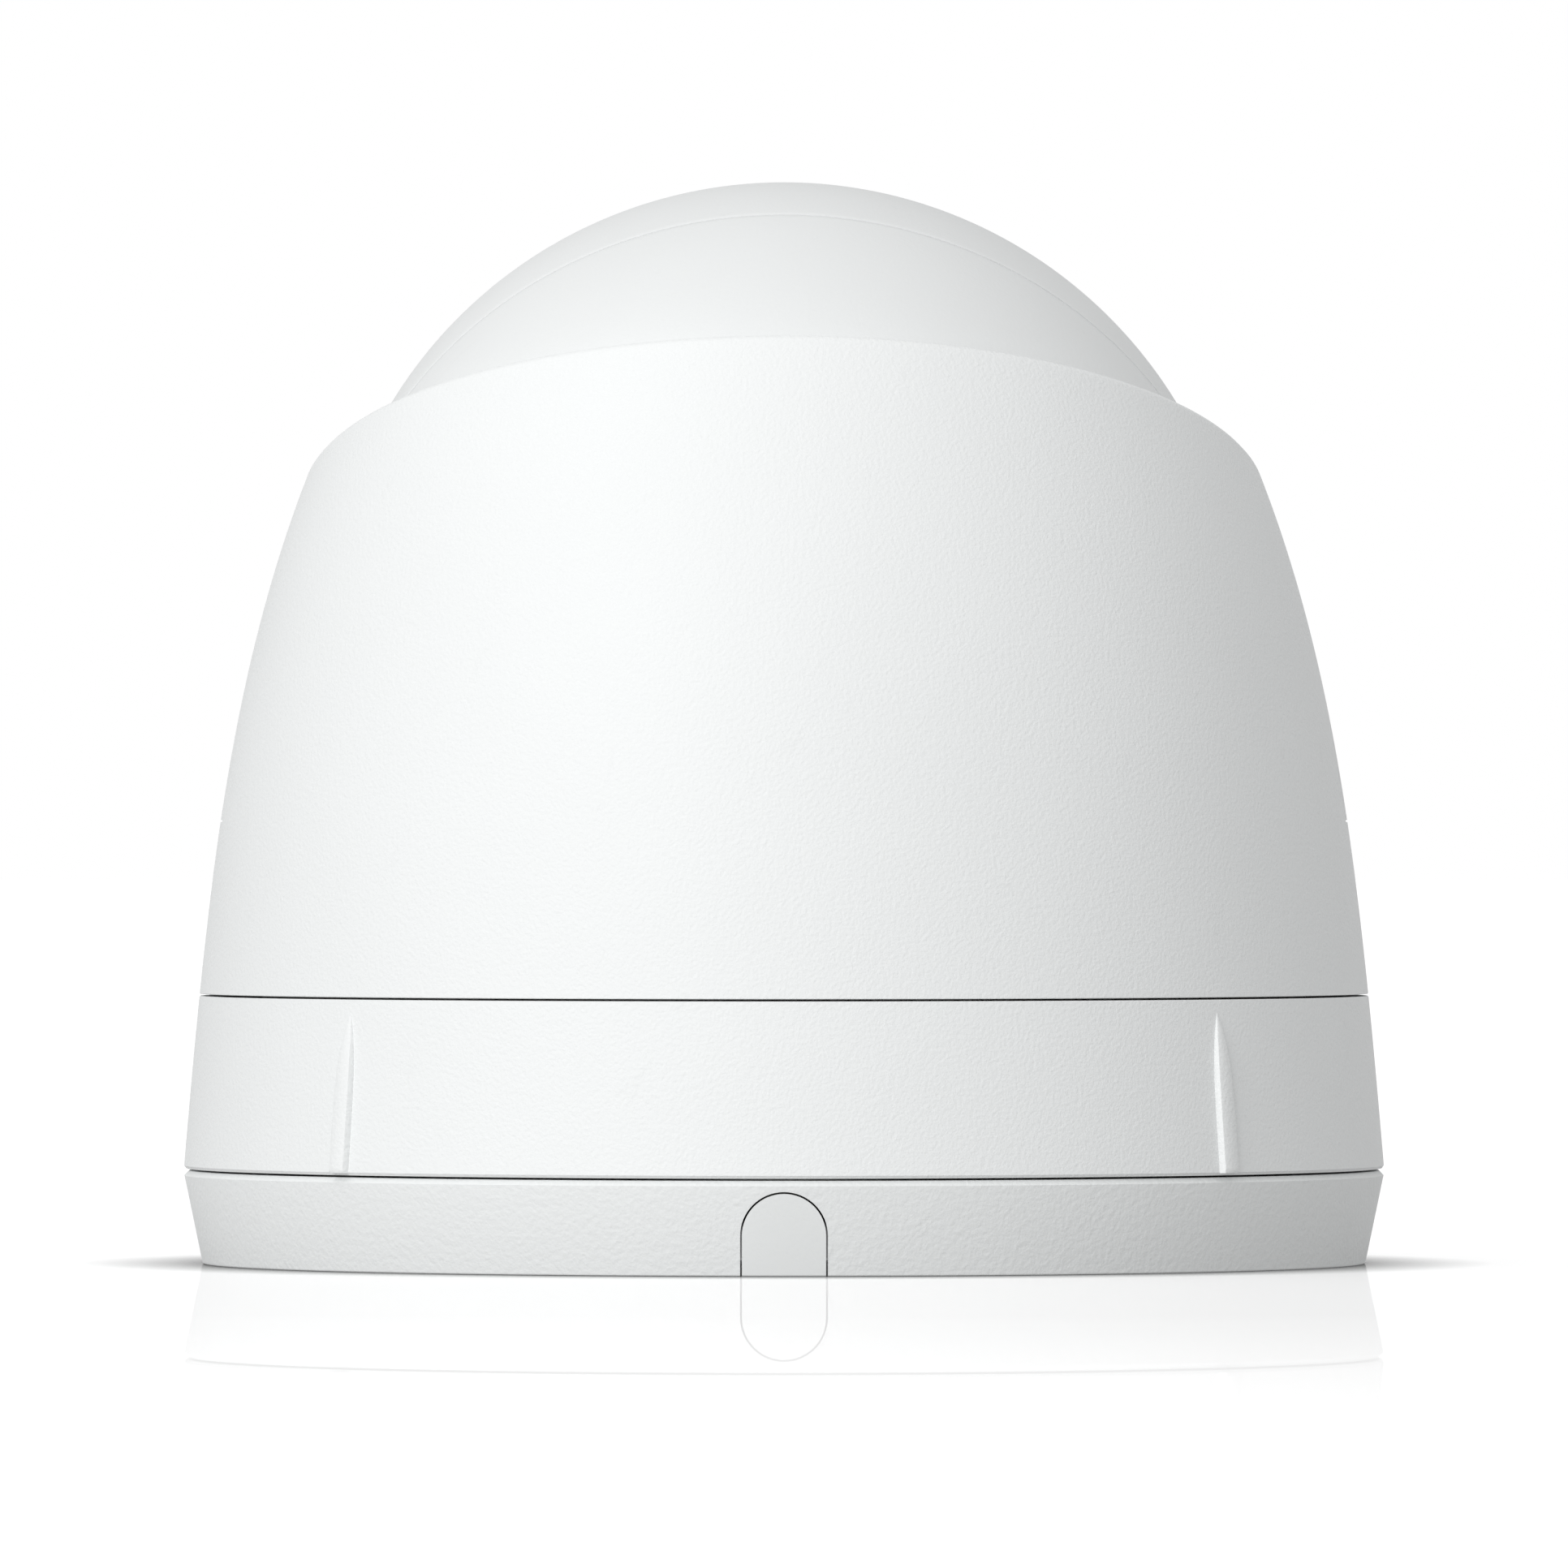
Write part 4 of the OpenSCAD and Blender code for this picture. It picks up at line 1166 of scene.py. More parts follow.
@dataclass
class GripBand:
    """Band that twists onto the base, with its grip ribs, floor tray, cable grommet and seal."""

    foot: float = 6.75 * MM
    top: float = 18.95 * MM
    wall: float = 2.2 * MM
    rows: int = 24
    bayonet_r: float = 35.9 * MM
    bayonet_top: float = 8 * MM
    bayonet_gap: float = 26.0
    bayonet_gap_at: float = 5.0
    shelf_r: float = 37.05 * MM
    shelf_z: Point2 = (14.9 * MM, 16.3 * MM)
    boss_r: float = 37.3 * MM
    boss_z: Point2 = (7.95 * MM, 10.2 * MM)
    boss_angle: float = 12.0
    rib_foot: float = 6.9 * MM
    rib_h: float = 11.1 * MM
    rib_w: float = 1.6 * MM
    rib_proud: float = 0.5 * MM
    rib_root: float = 1 * MM
    rib_angle: float = 46.5
    edge: float = 0.05 * MM
    foot_edge: float = 0.16 * MM
    tray_foot: float = 7.3
    tray_floor: float = 8.6
    screw_circle: float = 38.3 * MM
    screw_bore_r: float = 0.8 * MM

    def section(self) -> list[WallPoint]:
        """Section of the band's wall, with the bayonet shelf at its foot and the swivel shelf near its top."""
        f = self.foot
        heights = (self.top, self.shelf_z[1], self.shelf_z[0], self.bayonet_top)
        inner = [(RULE.radius(z) - self.wall, z) for z in heights]
        outer = [WallPoint(0, -0.2 * MM)] + [WallPoint(row / self.rows) for row in range(1, self.rows)]
        lip = [WallPoint(1, self.edge), WallPoint(1, 0, self.edge)]
        inside = rounded([(inner[0][0] + 0.6 * MM, self.top, 0), (*inner[0], 0.2 * MM), (*inner[1], 0.25 * MM),
                          (self.shelf_r, self.shelf_z[1], 0.2 * MM), (self.shelf_r, self.shelf_z[0], 0.2 * MM),
                          (*inner[2], 0.25 * MM), (*inner[3], 0.25 * MM), (self.bayonet_r, self.bayonet_top, 0.2 * MM),
                          (self.bayonet_r, f, 0.2 * MM), (RULE.radius(f) - 0.5 * MM, f, 0)], closed=False)
        return outer + lip + [at(r, z, f) for r, z in inside] + [at(RULE.radius(f) - self.foot_edge, f, f)]

    def ribs(self) -> list[bpy.types.Object]:
        """Builds the four grip ribs, in two pairs."""
        half = [(0.76, 1.0), (0.85, 0.93), (0.9, 0.8), (0.97, 0.3), (1.0, 0.0), (1.0, -1.0)]
        section = [(-across, crest) for across, crest in reversed(half)] + half
        levels = [0.0, 0.01, 0.03] + [step / self.rows for step in range(1, self.rows + 1)]
        rise = [0.85, 0.96, 1.0] + [1.0] * self.rows
        rows, count = len(levels), len(section)
        faces: list[Sequence[int]] = [
            (r * count + i, r * count + (i + 1) % count, (r + 1) * count + (i + 1) % count, (r + 1) * count + i)
            for r in range(rows - 1) for i in range(count)]
        faces += [range(count), range((rows - 1) * count, rows * count)]
        pairs = []
        for start in (90 - self.rib_angle, -90 - self.rib_angle):
            blank = carrier(faces, {
                "along": [level for level in levels for _ in section],
                "across": [across for _ in levels for across, _ in section],
                "crest": [crest * up if crest > 0 else crest for up in rise for _, crest in section]})
            rib = RIB.apply(blank, "rib", Slot.HOUSING.material, {
                "Foot": self.rib_foot, "Height": self.rib_h, "Proud": self.rib_proud, "Root": self.rib_root,
                "Width": self.rib_w})
            clean(rib.data)
            pairs.append(ring(rib, 2, start, 2 * self.rib_angle))
        return pairs

    def screw_bores(self, low: float, high: float) -> bpy.types.Object:
        """The three bores of the tray's screws, between two heights."""
        return ring(pillar(self.screw_bore_r, low, high), 3, 90, 120, self.screw_circle)

    def band(self) -> bpy.types.Object:
        """Builds the band."""
        band = WALL.apply(wall_grid(self.section()), "grip_band", Slot.HOUSING.material,
                          {"Foot": self.foot, "Rim Middle": self.top, "Rim Slope": 0.0})
        clean(band.data)
        boss = sector(self.boss_r, 41 * MM, *self.boss_z, self.boss_angle)
        band = carve(band, [*self.ribs(), ring(boss, 3, 90, 120)], Cut.ONTO)
        gap = sector(self.bayonet_r - 1 * MM, 37.4 * MM, self.foot - 0.1 * MM, self.bayonet_top + 0.05 * MM,
                     self.bayonet_gap)
        return carve(band, [ring(gap, 3, self.bayonet_gap_at, 120), self.screw_bores(8.4 * MM, 10.3 * MM)])

    def tray(self) -> bpy.types.Object:
        """Builds the tray that closes the band."""
        low, high = self.tray_foot, self.tray_floor
        corners = mm((5, low, 0.1), (33.1, low, 0.3), (33.1, 10.2, 0.2), (39.5, 10.2, 0.1), (39.5, 11.5, 0.3),
                     (31.5, 11.5, 0.4), (31.5, high, 0.5), (5, high, 0.1))
        tray = turned(rounded(corners), "band_tray", 192)
        rib = turned(rounded(mm((20, 8.5, 0.12), (20.8, 8.5, 0.12), (20.8, 9, 0.12), (20, 9, 0.12))))
        return carve(carve(tray, [rib], Cut.ONTO), [self.screw_bores(10 * MM, 12 * MM)])

    def grommet(self) -> bpy.types.Object:
        """Builds the rubber grommet that the camera's cable passes."""
        low, high = self.tray_foot, self.tray_floor
        corners = mm((2.9, low - 0.5, 0.2), (6.5, low - 0.5, 0.2), (6.5, low, 0), (5, low, 0), (5, high, 0),
                     (6.5, high, 0), (6.5, high + 0.5, 0.2), (2.9, high + 0.5, 0.2))
        return turned(rounded(corners), "grommet", 64)

    def seal(self) -> bpy.types.Object:
        """Builds the lipped seal between the band and the shell."""
        corners = mm((37.1, 16.3, 0.1), (39.1, 16.3, 0.2), (39.1, 16.9, 0.1), (38.4, 17.2, 0.2), (39, 17.8, 0.2),
                     (38.2, 18.3, 0.3), (37.1, 18.3, 0.1))
        return turned(rounded(corners), "swivel_seal", 192)

    def build(self) -> None:
        """Builds the sub-assembly."""
        hand_over(self.band(), Body.BAND, Slot.HOUSING, "lower_band")
        hand_over(self.tray(), Body.BAND, Slot.DARK, "floor_tray")
        hand_over(self.grommet(), Body.BAND, Slot.SEAL, "cable_grommet")
        hand_over(self.seal(), Body.BAND, Slot.SEAL, "pan_seal")
        screw = ScrewSize(self.screw_bore_r, 1.5 * MM, 0.9 * MM, 11.5 * MM, 8.5 * MM).make()
        hand_over(ring(screw, 3, 90, 120, self.screw_circle, "band_screws"), Body.BAND, Slot.SCREW, "tray_screws")


# --- the shell and its fascia ----------------------------------------------------------------------------------

@dataclass
class PanShell:
    """Tall shell with the oblique rim, and the fascia let into its front."""

    foot: float = 19.1 * MM
    wall: float = 2.2 * MM
    lip: float = 1.8 * MM
    edge: float = 0.25 * MM
    foot_edge: float = 0.05 * MM
    seam: float = 0.15 * MM
    fascia_t: float = 1.1 * MM
    spigot_foot: float = 13.6 * MM
    finger_slot: Point2 = (5 * MM, 3 * MM)
    slot_circle: float = 36.8 * MM
    hollow_r: float = 34.8 * MM
    boss_r: float = 5.6 * MM
    rows: int = 64
    inner_rows: int = 32

    def outer(self) -> list[WallPoint]:
        """Points of the outside, from the foot up and over the rim's outer edge."""
        e = self.edge
        wall = [WallPoint(0, 0, self.foot_edge), WallPoint(0, -self.foot_edge)]
        wall += [WallPoint(row / self.rows) for row in range(1, self.rows)]
        return wall + [WallPoint(1, e * 1.2), WallPoint(1, e * 1.1, e * 0.02), WallPoint(1, e * 0.1, e * 0.55),
                       WallPoint(1, 0, e * 0.75)]

    def section(self) -> list[WallPoint]:
        """Section of the shell, from its foot over the rim and down inside to the spigot."""
        e = self.edge
        rim = [WallPoint(1, 0, -e * 1.3, 1), WallPoint(1, e * 0.1, -e * 0.5, 1), WallPoint(1, e * 0.4, -e * 0.1, 1),
               WallPoint(1, e, 0, 1), WallPoint(1, self.lip, 0, 1)]
        levels = [1 - row / self.inner_rows for row in range(self.inner_rows - 1)]
        inside = [WallPoint(level, self.lip * level, self.wall, 0) for level in levels]
        spigot = rounded(mm((38.5, 20.7, 0), (35.2, 20.7, 0.2), (35.2, 13.6, 0.2), (38.0, 13.6, 0.1),
                            (38.4, 14.1, 0.1), (38.4, 14.7, 0.1), (37, 14.7, 0.1), (37, 19.1, 0.2), (40, 19.1, 0)),
                         closed=False)
        return self.outer() + rim + inside + [at(r, z, self.foot) for r, z in spigot]

    def front(self, grown: float) -> bpy.types.Object:
        """Prism of the fascia's side view, with a curved knee at its rear, grown by a distance in millimetres."""
        low, knee, high = (Vector(p) for p in ((-3.2, 36), (-3, 38.4), (0.2, 42)))
        bend = [low * (1 - t) ** 2 + knee * 2 * t * (1 - t) + high * t * t for t in np.linspace(0, 1, 13)]
        points = [(60, 31.4 - grown), (-3.8 - grown, 31.4 - grown)]
        points += [(p.x - grown, p.y + grown / 2) for p in bend]
        points += [(12 - grown, 54 + grown), (22, 90), (60, 90)]
        return prism(mm(*points), -60 * MM, 60 * MM, SIDEWAYS)

    def bosses(self) -> bpy.types.Object:
        """Bosses that the trunnions turn in, within the wall."""
        discs = [prism(disc_outline(self.boss_r), 34.9 * MM, 39 * MM, place) for place in TRUNNIONS]
        return carve(joined(discs, "bosses"), [wall_core(self.wall / 2)], Cut.WITHIN)

    def shell(self) -> bpy.types.Object:
        """Builds the shell."""
        shell = WALL.apply(wall_grid(self.section()), "pan_shell", Slot.HOUSING.material, {"Foot": self.foot})
        clean(shell.data)
        room = carve(self.front(self.seam / MM), [wall_core(self.fascia_t)])
        slot = prism(box_outline(*self.finger_slot, 0.4 * MM), self.spigot_foot - 1 * MM, 18 * MM)
        hollow = carve(ball_solid(self.hollow_r, AT_BALL, AROUND), [self.below_rim()], Cut.WITHIN)
        shell = carve(carve(shell, [hollow]), [self.bosses()], Cut.ONTO)
        bores = [prism(disc_outline(radius), low, high, place) for place in TRUNNIONS
                 for radius, low, high in mm((5.2, 33, 34.9), (2.3, 34, 36.2))]
        return carve(shell, [*bores, room, ring(slot, 8, 0, 45, self.slot_circle)])

    def below_rim(self) -> bpy.types.Object:
        """Everything below the underside of the lip."""
        place = Matrix.Translation((0, 0, RULE.rim_middle)) @ Matrix.Rotation(math.radians(-RULE.rim_degrees), 4, "X")
        return prism(box_outline(120 * MM, 120 * MM), -90 * MM, -self.lip, place)

    def fascia(self) -> bpy.types.Object:
        """Builds the fascia."""
        inside = [WallPoint(1 - row / self.rows, 0, self.fascia_t) for row in range(self.rows + 1)]
        fascia = WALL.apply(wall_grid(self.outer() + inside), "fascia", Slot.HOUSING.material, {"Foot": self.foot})
        clean(fascia.data)
        return carve(fascia, [self.front(0)], Cut.WITHIN)

    def build(self) -> None:
        """Builds the sub-assembly."""
        hand_over(self.shell(), Body.HOUSING, Slot.HOUSING, "shell")
        hand_over(self.fascia(), Body.HOUSING, Slot.HOUSING, "front_fascia")


# --- the ball and what is in it --------------------------------------------------------------------------------

@dataclass
class LensBall:
    """The ball's two halves, its window and its service hatch."""

    radius: float = 32.6 * MM
    wall: float = 2 * MM
    half_seam: float = 0.06 * MM
    edge: float = 0.09 * MM
    rear_flat: float = 28.4 * MM
    front_flat: float = 28.8 * MM
    neck_r: float = 6 * MM
    neck_bore_r: float = 4 * MM
    neck_end: float = 33.2 * MM
    window_r: float = 14.2 * MM
    window_z: Point2 = (27.1 * MM, 28.7 * MM)
    seat_gap: float = 0.1 * MM
    seat_z: float = 26.6 * MM
    plate_back: float = 25 * MM
    opening_r: float = 12.6 * MM
    groove: Point2 = (31.1 * MM, 31.9 * MM)
    groove_deep: float = 0.9 * MM
    boss_r: float = 3.4 * MM
    boss_within: float = 31 * MM
    screw_at: float = 23 * MM
    screw_r: float = 1.1 * MM
    screw_seat: float = -12.2 * MM
    port_r: float = 4.5 * MM
    port_half: float = 4.5 * MM
    port_screw_at: float = 6.9 * MM
    port_screw_r: float = 0.7 * MM
    cover_in_r: float = 31.3 * MM
    mic_r: float = 0.35 * MM
    mic_at: float = 14.75 * MM

    def curve(self, radius: float, low: float, high: float, steps: int = 96) -> list[Point2]:
        """Points of a sphere's section between two heights."""
        start, end = (math.degrees(math.asin(z / radius)) for z in (low, high))
        return arc((0, 0), radius, start, end, steps)

    def bolts(self, shape: bpy.types.Object, name: str = "tool", place: Matrix = UPRIGHT) -> bpy.types.Object:
        """Repeats a shape at the three screws that hold the halves together."""
        return ring(shape, 3, 30, 120, self.screw_at, name, place)

    def bolt_bosses(self, low: float, high: float) -> bpy.types.Object:
        """Bosses of the three screws, within the wall, between two heights."""
        return carve(self.bolts(pillar(self.boss_r, low, high, 48)), [ball_solid(self.boss_within, UPRIGHT)],
                     Cut.WITHIN)

    def rear(self) -> bpy.types.Object:
        """Builds the rear half, with its hollow neck and screw bosses."""
        inner, s, e = self.radius - self.wall, self.half_seam, self.edge
        floor = self.wall - self.rear_flat
        outline = [(self.radius - e, -s), (self.radius - e * 0.3, -s - e * 0.3)]
        outline += self.curve(self.radius, -s - e, -self.rear_flat)
        outline += rounded([(15 * MM, -self.rear_flat, 0), (self.neck_r, -self.rear_flat, 0.3 * MM),
                            (self.neck_r, -self.neck_end, 0.3 * MM), (self.neck_bore_r, -self.neck_end, 0.3 * MM),
                            (self.neck_bore_r, floor, 0.2 * MM), (14 * MM, floor, 0)], closed=False)
        outline += self.curve(inner, floor, -s, 48)
        low, high = self.groove
        outline += [(low, -s), (low, -self.groove_deep), (high, -self.groove_deep), (high, -s)]
        half = turned(outline, "rear_half", AROUND)
        half = carve(half, [self.bolt_bosses(-self.rear_flat, -s)], Cut.ONTO)
        head_r, below, above = 2.3 * MM, -40 * MM, 1 * MM
        bore = turned([(0, below), (head_r, below), (head_r, self.screw_seat), (self.screw_r, self.screw_seat),
                       (self.screw_r, above), (0, above)], columns=40)
        half = carve(half, [self.bolts(bore)])
        half.data.transform(IN_BALL)
        return half

    def port(self, radius: float, half: float, inner: float) -> bpy.types.Object:
        """What is outside a sphere, within a slot-shaped outline in the port's frame.

        Args:
            radius: Radius of the outline's round ends.
            half: Half the distance between their centres.
            inner: Radius of the sphere.

        Returns:
            The solid.
        """
        column = prism(slot_outline(radius, half), 20 * MM, 40 * MM, IN_PORT)
        return carve(column, [ball_solid(inner, IN_PORT, AROUND)])

    def front(self) -> bpy.types.Object:
        """Builds the front half, with the window's seat, the service port and the microphone's hole."""
        inner, s, e = self.radius - self.wall, self.half_seam, self.edge
        seat_r = self.window_r + self.seat_gap
        rim = self.curve(self.radius, s + e, self.front_flat - 0.25 * MM)
        outline = [(inner, s), (self.groove[0], s), (self.radius - e, s), (self.radius - e * 0.3, s + e * 0.3)]
        outline += rim[:-1] + rounded([
            (*rim[-1], 0), (15.2 * MM, self.front_flat, 0.2 * MM), (seat_r, self.front_flat, 0.12 * MM),
            (seat_r, self.seat_z, 0.05 * MM), (self.opening_r, self.seat_z, 0.1 * MM),
            (self.opening_r, self.plate_back, 0.3 * MM), (17 * MM, self.plate_back, 0)], closed=False)
        outline += self.curve(inner, self.plate_back, s, 48)[:-1]
        half = turned(outline, "front_half", AROUND, IN_BALL)
        bosses = self.bolt_bosses(s, 9 * MM)
        bosses.data.transform(IN_BALL)
        lamp_screws = (3, 0, 120, LAMP_SCREW_CIRCLE, "tool", IN_BALL)
        half = carve(half, [bosses, ring(pillar(1.3 * MM, 22 * MM, 25.05 * MM, 32), *lamp_screws)], Cut.ONTO)
        return carve(half, [
            self.port(self.port_r + self.seat_gap, self.port_half, self.cover_in_r),
            self.port(3.4 * MM, 2 * MM, 30.9 * MM),
            prism(slot_outline(2.8 * MM, 2 * MM), 26 * MM, 36 * MM, IN_PORT),
            self.bolts(pillar(self.screw_r, -1 * MM, 6 * MM, 32), place=IN_BALL),
            ring(pillar(self.mic_r, 24 * MM, 40 * MM), 1, 270, 0, self.mic_at, place=IN_BALL),
            ring(pillar(0.8 * MM, 20 * MM, 25.4 * MM), *lamp_screws),
            ring(pillar(self.port_screw_r, 24 * MM, 36 * MM), 2, 0, 180, self.port_screw_at, place=IN_PORT),
        ])

    def hatch(self) -> bpy.types.Object:
        """Builds the service cover, round to match the ball."""
        hatch = carve(self.port(self.port_r, self.port_half, self.cover_in_r),
                      [ball_solid(self.radius, IN_PORT, AROUND)], Cut.WITHIN)
        bores = [ring(pillar(radius, low, 40 * MM, 32), 2, 0, 180, self.port_screw_at, place=IN_PORT)
                 for radius, low in ((self.port_screw_r, 20 * MM), (1.25 * MM, 31.5 * MM))]
        return renamed(carve(hatch, bores), "service_hatch")

    def window(self) -> bpy.types.Object:
        """Builds the front window, with ground edges."""
        low, high = self.window_z
        return turned(rounded([(0, low, 0), (self.window_r, low, 0.15 * MM), (self.window_r, high, 0.2 * MM),
                               (0, high, 0)]), "window", 192, IN_BALL)

    def build(self) -> None:
        """Builds the sub-assembly."""
        hand_over(self.rear(), Body.BALL, Slot.BALL, "ball_rear")
        hand_over(self.front(), Body.BALL, Slot.BALL, "ball_front")
        hand_over(self.hatch(), Body.BALL, Slot.BALL, "service_cover")
        hand_over(self.window(), Body.BALL, Slot.WINDOW, "front_window")
        screw = ScrewSize(self.screw_r, 2.2 * MM, 1.6 * MM, self.screw_seat, 5.8 * MM, 0.6 * MM).make()
        hand_over(self.bolts(screw, "ball_bolts", IN_BALL), Body.BALL, Slot.SCREW, "ball_screws")
        screw = ScrewSize(self.port_screw_r, 1.2 * MM, 0.5 * MM, 31.5 * MM, 24.2 * MM).make()
        hand_over(ring(screw, 2, 0, 180, self.port_screw_at, "hatch_screws", IN_PORT), Body.BALL, Slot.SCREW,
                  "service_screws")


@dataclass
class Optics:
    """The lens, its hood, and the lamps round it."""

    lamp_count: int = 6
    lamp_ring: float = 11.2 * MM
    lamp_r: float = 1.3 * MM
    package_w: float = 3 * MM
    package_h: float = 0.8 * MM
    board_top: float = 22 * MM
    glass_r: float = 5.8 * MM
    glass_rise: float = 1.6 * MM
    glass_top: float = 23.6 * MM

    def barrel(self) -> bpy.types.Object:
        """Builds the lens barrel, with a fine thread, a grooved head and stepped light baffles."""
        outline = [(4.2, 11.3), (5.85, 11.3)]
        outline += [(r, 11.4 + 0.35 * turn + step) for turn in range(21) for r, step in ((5.85, 0.0), (6.0, 0.17))]
        outline += [(6, 18.95), (7.0, 19), (7.2, 19.2), (7.2, 20.6), (7.05, 20.75), (7.05, 21.2), (7.2, 21.35),
                    (7.2, 24.15), (6.95, 24.4), (6.6, 24.4), (6.45, 24.1), (6.3, 24.1), (6.15, 23.8), (6.0, 23.8),
                    (5.8, 23.45), (5.8, 20.4), (4.9, 20.4), (4.9, 19.8), (4.6, 19.8), (4.6, 19.2), (4.2, 19.2)]
        return turned(mm(*outline), "barrel", 128, IN_BALL)

    def front_glass(self) -> bpy.types.Object:
        """Builds the domed front element."""
        dome = (self.glass_r ** 2 + self.glass_rise ** 2) / (2 * self.glass_rise)
        reach = math.degrees(math.asin(self.glass_r / dome))
        line = arc((0, self.glass_top - dome), dome, 90 - reach, 90, 24)
        line[-1] = (0.0, self.glass_top)
        foot = mm((0, 20.4), (5.6, 20.4), (5.8, 20.6))
        return turned([*foot, *line], "front_element", 96, IN_BALL)

    def hood(self) -> bpy.types.Object:
        """Builds the ribbed rubber hood between the lamp board and the window."""
        ribs = [(7.4 + (0.25 if i % 2 else 0.0), 26.9 - 0.4 * i) for i in range(12)]
        outline = [(7.4, 22), (9, 22), (9, 22.5), (8.7, 22.8), (8.7, 26.3), (9, 26.6), (9, 27.1), (7.5, 27.1)] + ribs
        return turned(mm(*outline), "lens_hood", 128, IN_BALL)

    def lamps(self) -> bpy.types.Object:
        """Builds the lamps, each a package with a moulded dome."""
        foot, top = self.board_top, self.board_top + self.package_h
        package = prism(box_outline(self.package_w, self.package_w, 0.25 * MM), foot, top)
        line = arc((0, top), self.lamp_r, 0, 90, 12)
        line[-1] = (0.0, foot + 2.1 * MM)
        root = foot + 0.7 * MM
        lamp = carve(package, [turned([(0, root), (self.lamp_r, root), *line], columns=32)], Cut.ONTO)
        return ring(lamp, self.lamp_count, 30, 360 / self.lamp_count, self.lamp_ring, "lamps", IN_BALL)

    def build(self) -> None:
        """Builds the sub-assembly."""
        hand_over(self.barrel(), Body.BALL, Slot.LENS_BLACK, "lens_barrel")
        hand_over(self.front_glass(), Body.BALL, Slot.LENS, "front_lens")
        hand_over(self.hood(), Body.BALL, Slot.DARK, "lens_baffle")
        hand_over(self.lamps(), Body.BALL, Slot.LAMP, "infrared_lamps")


class Fittings:
    """The finishes of the pieces that are taken over as they are, and the screws inside the ball."""

    FINISHES = {
        Slot.SEAL: ("ball_seal", "window_gasket", "service_seal"),
        Slot.LENS: ("rear_lens", "status_light", "light_sensor"),
        Slot.LOCK_RING: ("lens_lock_ring",),
        Slot.LAMP_BOARD: ("lamp_board",),
        Slot.MIC: ("microphone",),
        Slot.SPRING: ("tilt_yoke",),
        Slot.SCREW: ("trunnion_pins", "roll_retainer"),
        Slot.GLIDE: ("tilt_washers", "roll_washer"),
        Slot.CHASSIS: ("chassis_plate",),
        Slot.BOARD: ("main_board", "sensor_board", "service_board"),
        Slot.CHIP: ("processor",),
        Slot.PAD: ("thermal_pad",),
        Slot.SOCKET: ("harness_socket",),
        Slot.SENSOR: ("image_sensor",),
        Slot.DARK: ("lens_holder", "filter_frame", "filter_carrier", "reset_switch"),
        Slot.COIL: ("filter_coil",),
        Slot.DAY: ("infrared_filter",),
        Slot.NIGHT: ("clear_filter",),
        Slot.SOCKET_METAL: ("card_socket",),
        Slot.BUTTON: ("reset_button",),
    }

    def build(self) -> None:
        """Dresses the pieces and builds the screws."""
        for slot, nodes in self.FINISHES.items():
            dress(slot, *nodes)
        small = (0.8 * MM, 1.4 * MM, 1 * MM)
        groups = {
            "board_screws": (-6.6, -1.2, 4, 45, 90, 15 * MM),
            "sensor_screws": (6.2, 1.2, 4, 45, 90, 10.5 * MM * math.sqrt(2)),
            "lamp_screws": (20.8, 25.3, 3, 0, 120, LAMP_SCREW_CIRCLE),
        }
        for node, (seat, tip, *spread) in groups.items():
            screw = ScrewSize(*small, seat * MM, tip * MM).make()
            hand_over(ring(screw, *spread, node + "_set", IN_BALL), Body.BALL, Slot.SCREW, node)
        size = ScrewSize(1 * MM, 1.9 * MM, 1.3 * MM, 0.5 * MM, 7.8 * MM)
        screws = [ring(size.make(), 1, angle, 0, 24.5 * MM, place=IN_BALL) for angle in CHASSIS_SCREWS]
        hand_over(joined(screws, "chassis_screws_set"), Body.BALL, Slot.SCREW, "chassis_screws")


# --- the set ---------------------------------------------------------------------------------------------------

@dataclass(frozen=True)
class SoftLight:
    """A square soft light that faces the object.

    It hangs so many degrees round from the -Y axis, positive towards +X, and so many degrees up. Its size is its
    width in metres, and its power is in watts.
    """

    name: str
    side: float
    height: float
    size: float
    power: float

    def hang(self, aim_z: float, away: float, unlit: bpy.types.Collection) -> None:
        """Hangs the light.

        Args:
            aim_z: Height of the point that it faces.
            away: Its distance from there.
            unlit: What it doesn't light.
        """
        lamp = bpy.data.lights.new(self.name, "AREA")
        lamp.shape, lamp.size, lamp.energy = "SQUARE", self.size, self.power
        hung = bpy.data.objects.new(self.name, lamp)
        round_z, up = math.radians(self.side), math.radians(self.height)
        out = Vector((math.sin(round_z) * math.cos(up), -math.cos(round_z) * math.cos(up), math.sin(up)))
        hung.location = Vector((0, 0, aim_z)) + out * away
        hung.rotation_euler = out.to_track_quat("Z", "Y").to_euler()
        hung.light_linking.receiver_collection = unlit
        bpy.context.scene.collection.objects.link(hung)


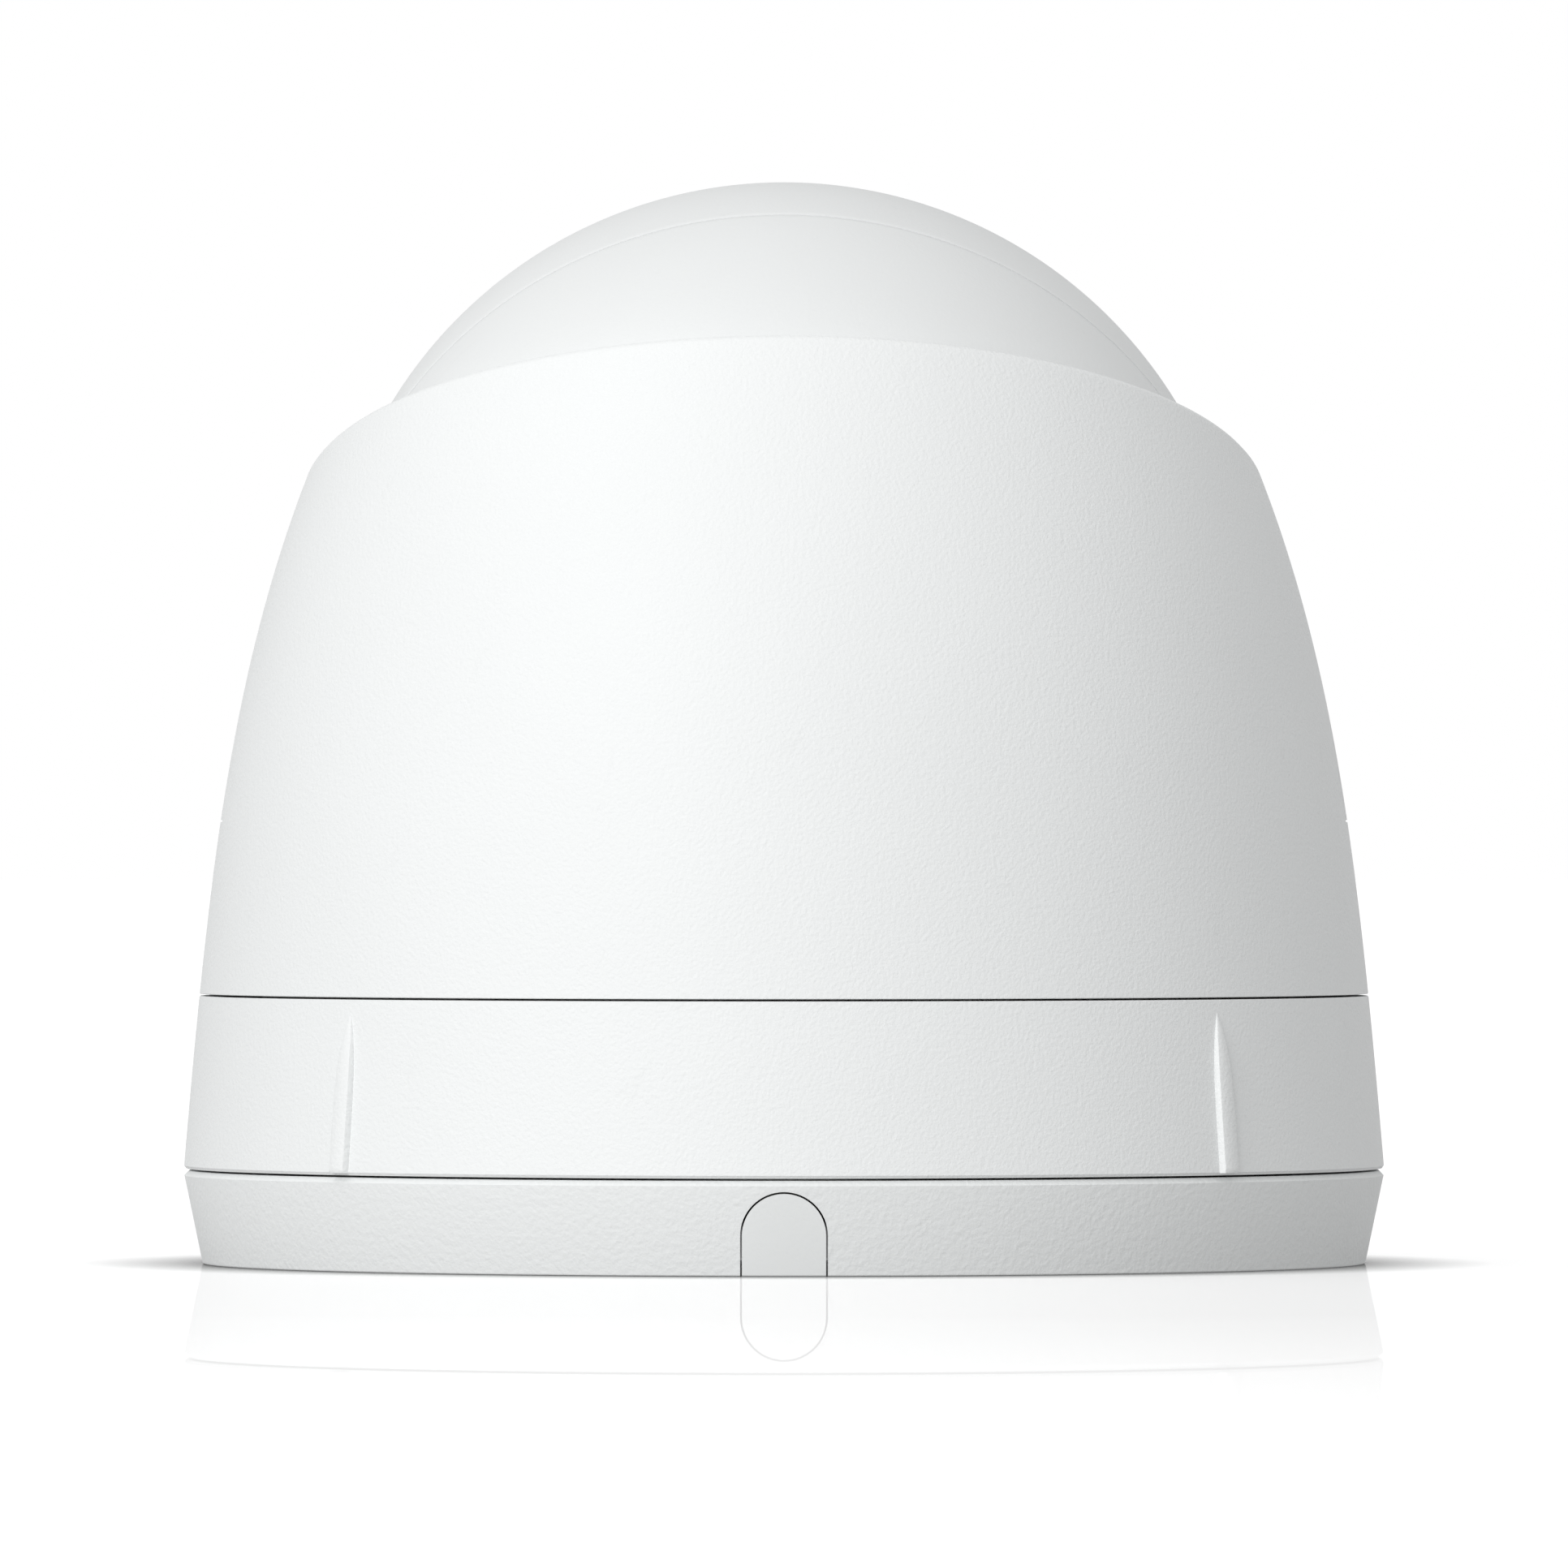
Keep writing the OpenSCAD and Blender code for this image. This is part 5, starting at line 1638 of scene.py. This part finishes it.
@dataclass
class Studio:
    """Pale floor, soft lights and the camera."""

    camera_at: tuple[float, float, float] = (0, -1.5, 33.95 * MM)
    lens: float = 485.7
    sensor: float = 36.0
    clip_end: float = 50
    floor_r: float = 6.0
    floor_z: float = -0.02 * MM
    floor_sides: int = 64
    above: float = 0.75
    below: float = 0.37
    horizon: float = 5
    aim_z: float = 35 * MM
    light_away: float = 1.2
    lights: tuple[SoftLight, ...] = (
        SoftLight("key", -38, 12, 0.5, 5.0), SoftLight("front", -10, 12, 0.5, 2.6),
        SoftLight("high", -35, 50, 0.6, 1.5))
    paper: float = 1.47
    mirror: float = 0.34
    mirror_fades: Point2 = (0.15, 0.5)
    # painted contact shadow on the floor: how far ambient occlusion looks, how strongly it darkens the paper, and the
    # darkest it goes
    contact_shadow_reach: float = 9 * MM
    contact_shadow_strength: float = 1.5
    contact_shadow_darkest: float = 0.05
    unlit: bpy.types.Collection = field(default_factory=lambda: bpy.data.collections.new("not_lit_by_lamps"))

    def paper_material(self) -> bpy.types.Material:
        """The floor's finish: matt paper with a painted contact shadow, darker where ambient occlusion finds the
        object close by, under a mirror gloss that fades outward.
        """
        paper = bpy.data.materials.new("floor_paper")
        paper.use_nodes = True
        tree = paper.node_tree
        tree.nodes.remove(tree.nodes["Principled BSDF"])
        matt, gloss, both, shadow_probe, place, away = (tree.nodes.new("ShaderNode" + kind) for kind in (
            "BsdfDiffuse", "BsdfGlossy", "MixShader", "AmbientOcclusion", "TexCoord", "VectorMath"))
        # painted contact shadow: the paper's colour is darkened where ambient occlusion finds the object close by
        shadow_probe.inputs["Distance"].default_value = self.contact_shadow_reach
        painted_shadow_factor = Field(tree, shadow_probe.outputs["AO"]) * self.contact_shadow_strength + (1 - self.contact_shadow_strength)
        tree.links.new((painted_shadow_factor.math("MAXIMUM", self.contact_shadow_darkest) * self.paper).socket, matt.inputs["Color"])
        gloss.inputs["Color"].default_value = (1, 1, 1, 1)
        gloss.inputs["Roughness"].default_value = 0
        away.operation = "LENGTH"
        tree.links.new(place.outputs["Object"], away.inputs[0])
        near, far = self.mirror_fades
        fade = (Field(tree, away.outputs["Value"]) * (-1 / (far - near)) + far / (far - near)).math(
            "MULTIPLY", 1.0, clamp=True)
        tree.links.new((fade * self.mirror).socket, both.inputs["Fac"])
        tree.links.new(matt.outputs[0], both.inputs[1])
        tree.links.new(gloss.outputs[0], both.inputs[2])
        tree.links.new(both.outputs[0], tree.nodes["Material Output"].inputs["Surface"])
        return paper

    def floor(self) -> None:
        """Lays the pale floor, which throws no light back up and which the lamps don't light."""
        mesh = bpy.data.meshes.new("floor")
        angles = np.linspace(0, 2 * np.pi, self.floor_sides + 1)[:-1]
        mesh.from_pydata([(self.floor_r * math.cos(a), self.floor_r * math.sin(a), self.floor_z) for a in angles], [],
                         [list(range(self.floor_sides))])
        mesh.materials.append(self.paper_material())
        floor = as_object(mesh, "studio_floor")
        floor.visible_diffuse = floor.visible_shadow = False
        self.unlit.objects.link(floor)
        self.unlit.collection_objects[0].light_linking.link_state = "EXCLUDE"

    def backdrop(self) -> None:
        """Sets a white surround that lights the set from above more than from below."""
        world = bpy.data.worlds.new("surround")
        bpy.context.scene.world = world
        world.use_nodes = True
        tree = world.node_tree
        ground = tree.nodes["Background"]
        way, place, path = (tree.nodes.new("ShaderNode" + kind) for kind in ("SeparateXYZ", "TexCoord", "LightPath"))
        tree.links.new(place.outputs["Generated"], way.inputs[0])
        above = (Field(tree, way.outputs[2]) * self.horizon + 0.5).math("MULTIPLY", 1.0, clamp=True)
        seen = Field(tree, path.outputs["Is Camera Ray"]).math("MAXIMUM", Field(tree, path.outputs["Is Singular Ray"]))
        tree.links.new(seen.mix(above.mix(self.below, self.above), 1.0).socket, ground.inputs["Strength"])
        ground.inputs["Color"].default_value = (1, 1, 1, 1)

    def build(self) -> None:
        """Sets up the studio."""
        scene = bpy.context.scene
        scene.view_settings.view_transform = "Standard"
        camera = bpy.data.cameras.new("camera")
        camera.lens, camera.sensor_width, camera.clip_end = self.lens, self.sensor, self.clip_end
        shot = bpy.data.objects.new("camera", camera)
        shot.location = self.camera_at
        shot.rotation_euler = (math.pi / 2, 0, 0)
        scene.collection.objects.link(shot)
        scene.camera = shot
        self.floor()
        self.backdrop()
        for light in self.lights:
            light.hang(self.aim_z, self.light_away, self.unlit)


def main() -> None:
    """Builds the studio and every sub-assembly."""
    logging.basicConfig(level=logging.INFO, format="%(message)s")
    Studio().build()
    for assembly in (MountingBase(), GripBand(), PanShell(), LensBall(), Optics(), Fittings()):
        LOG.info("building %s", type(assembly).__name__)
        assembly.build()


if __name__ == "__main__":
    main()
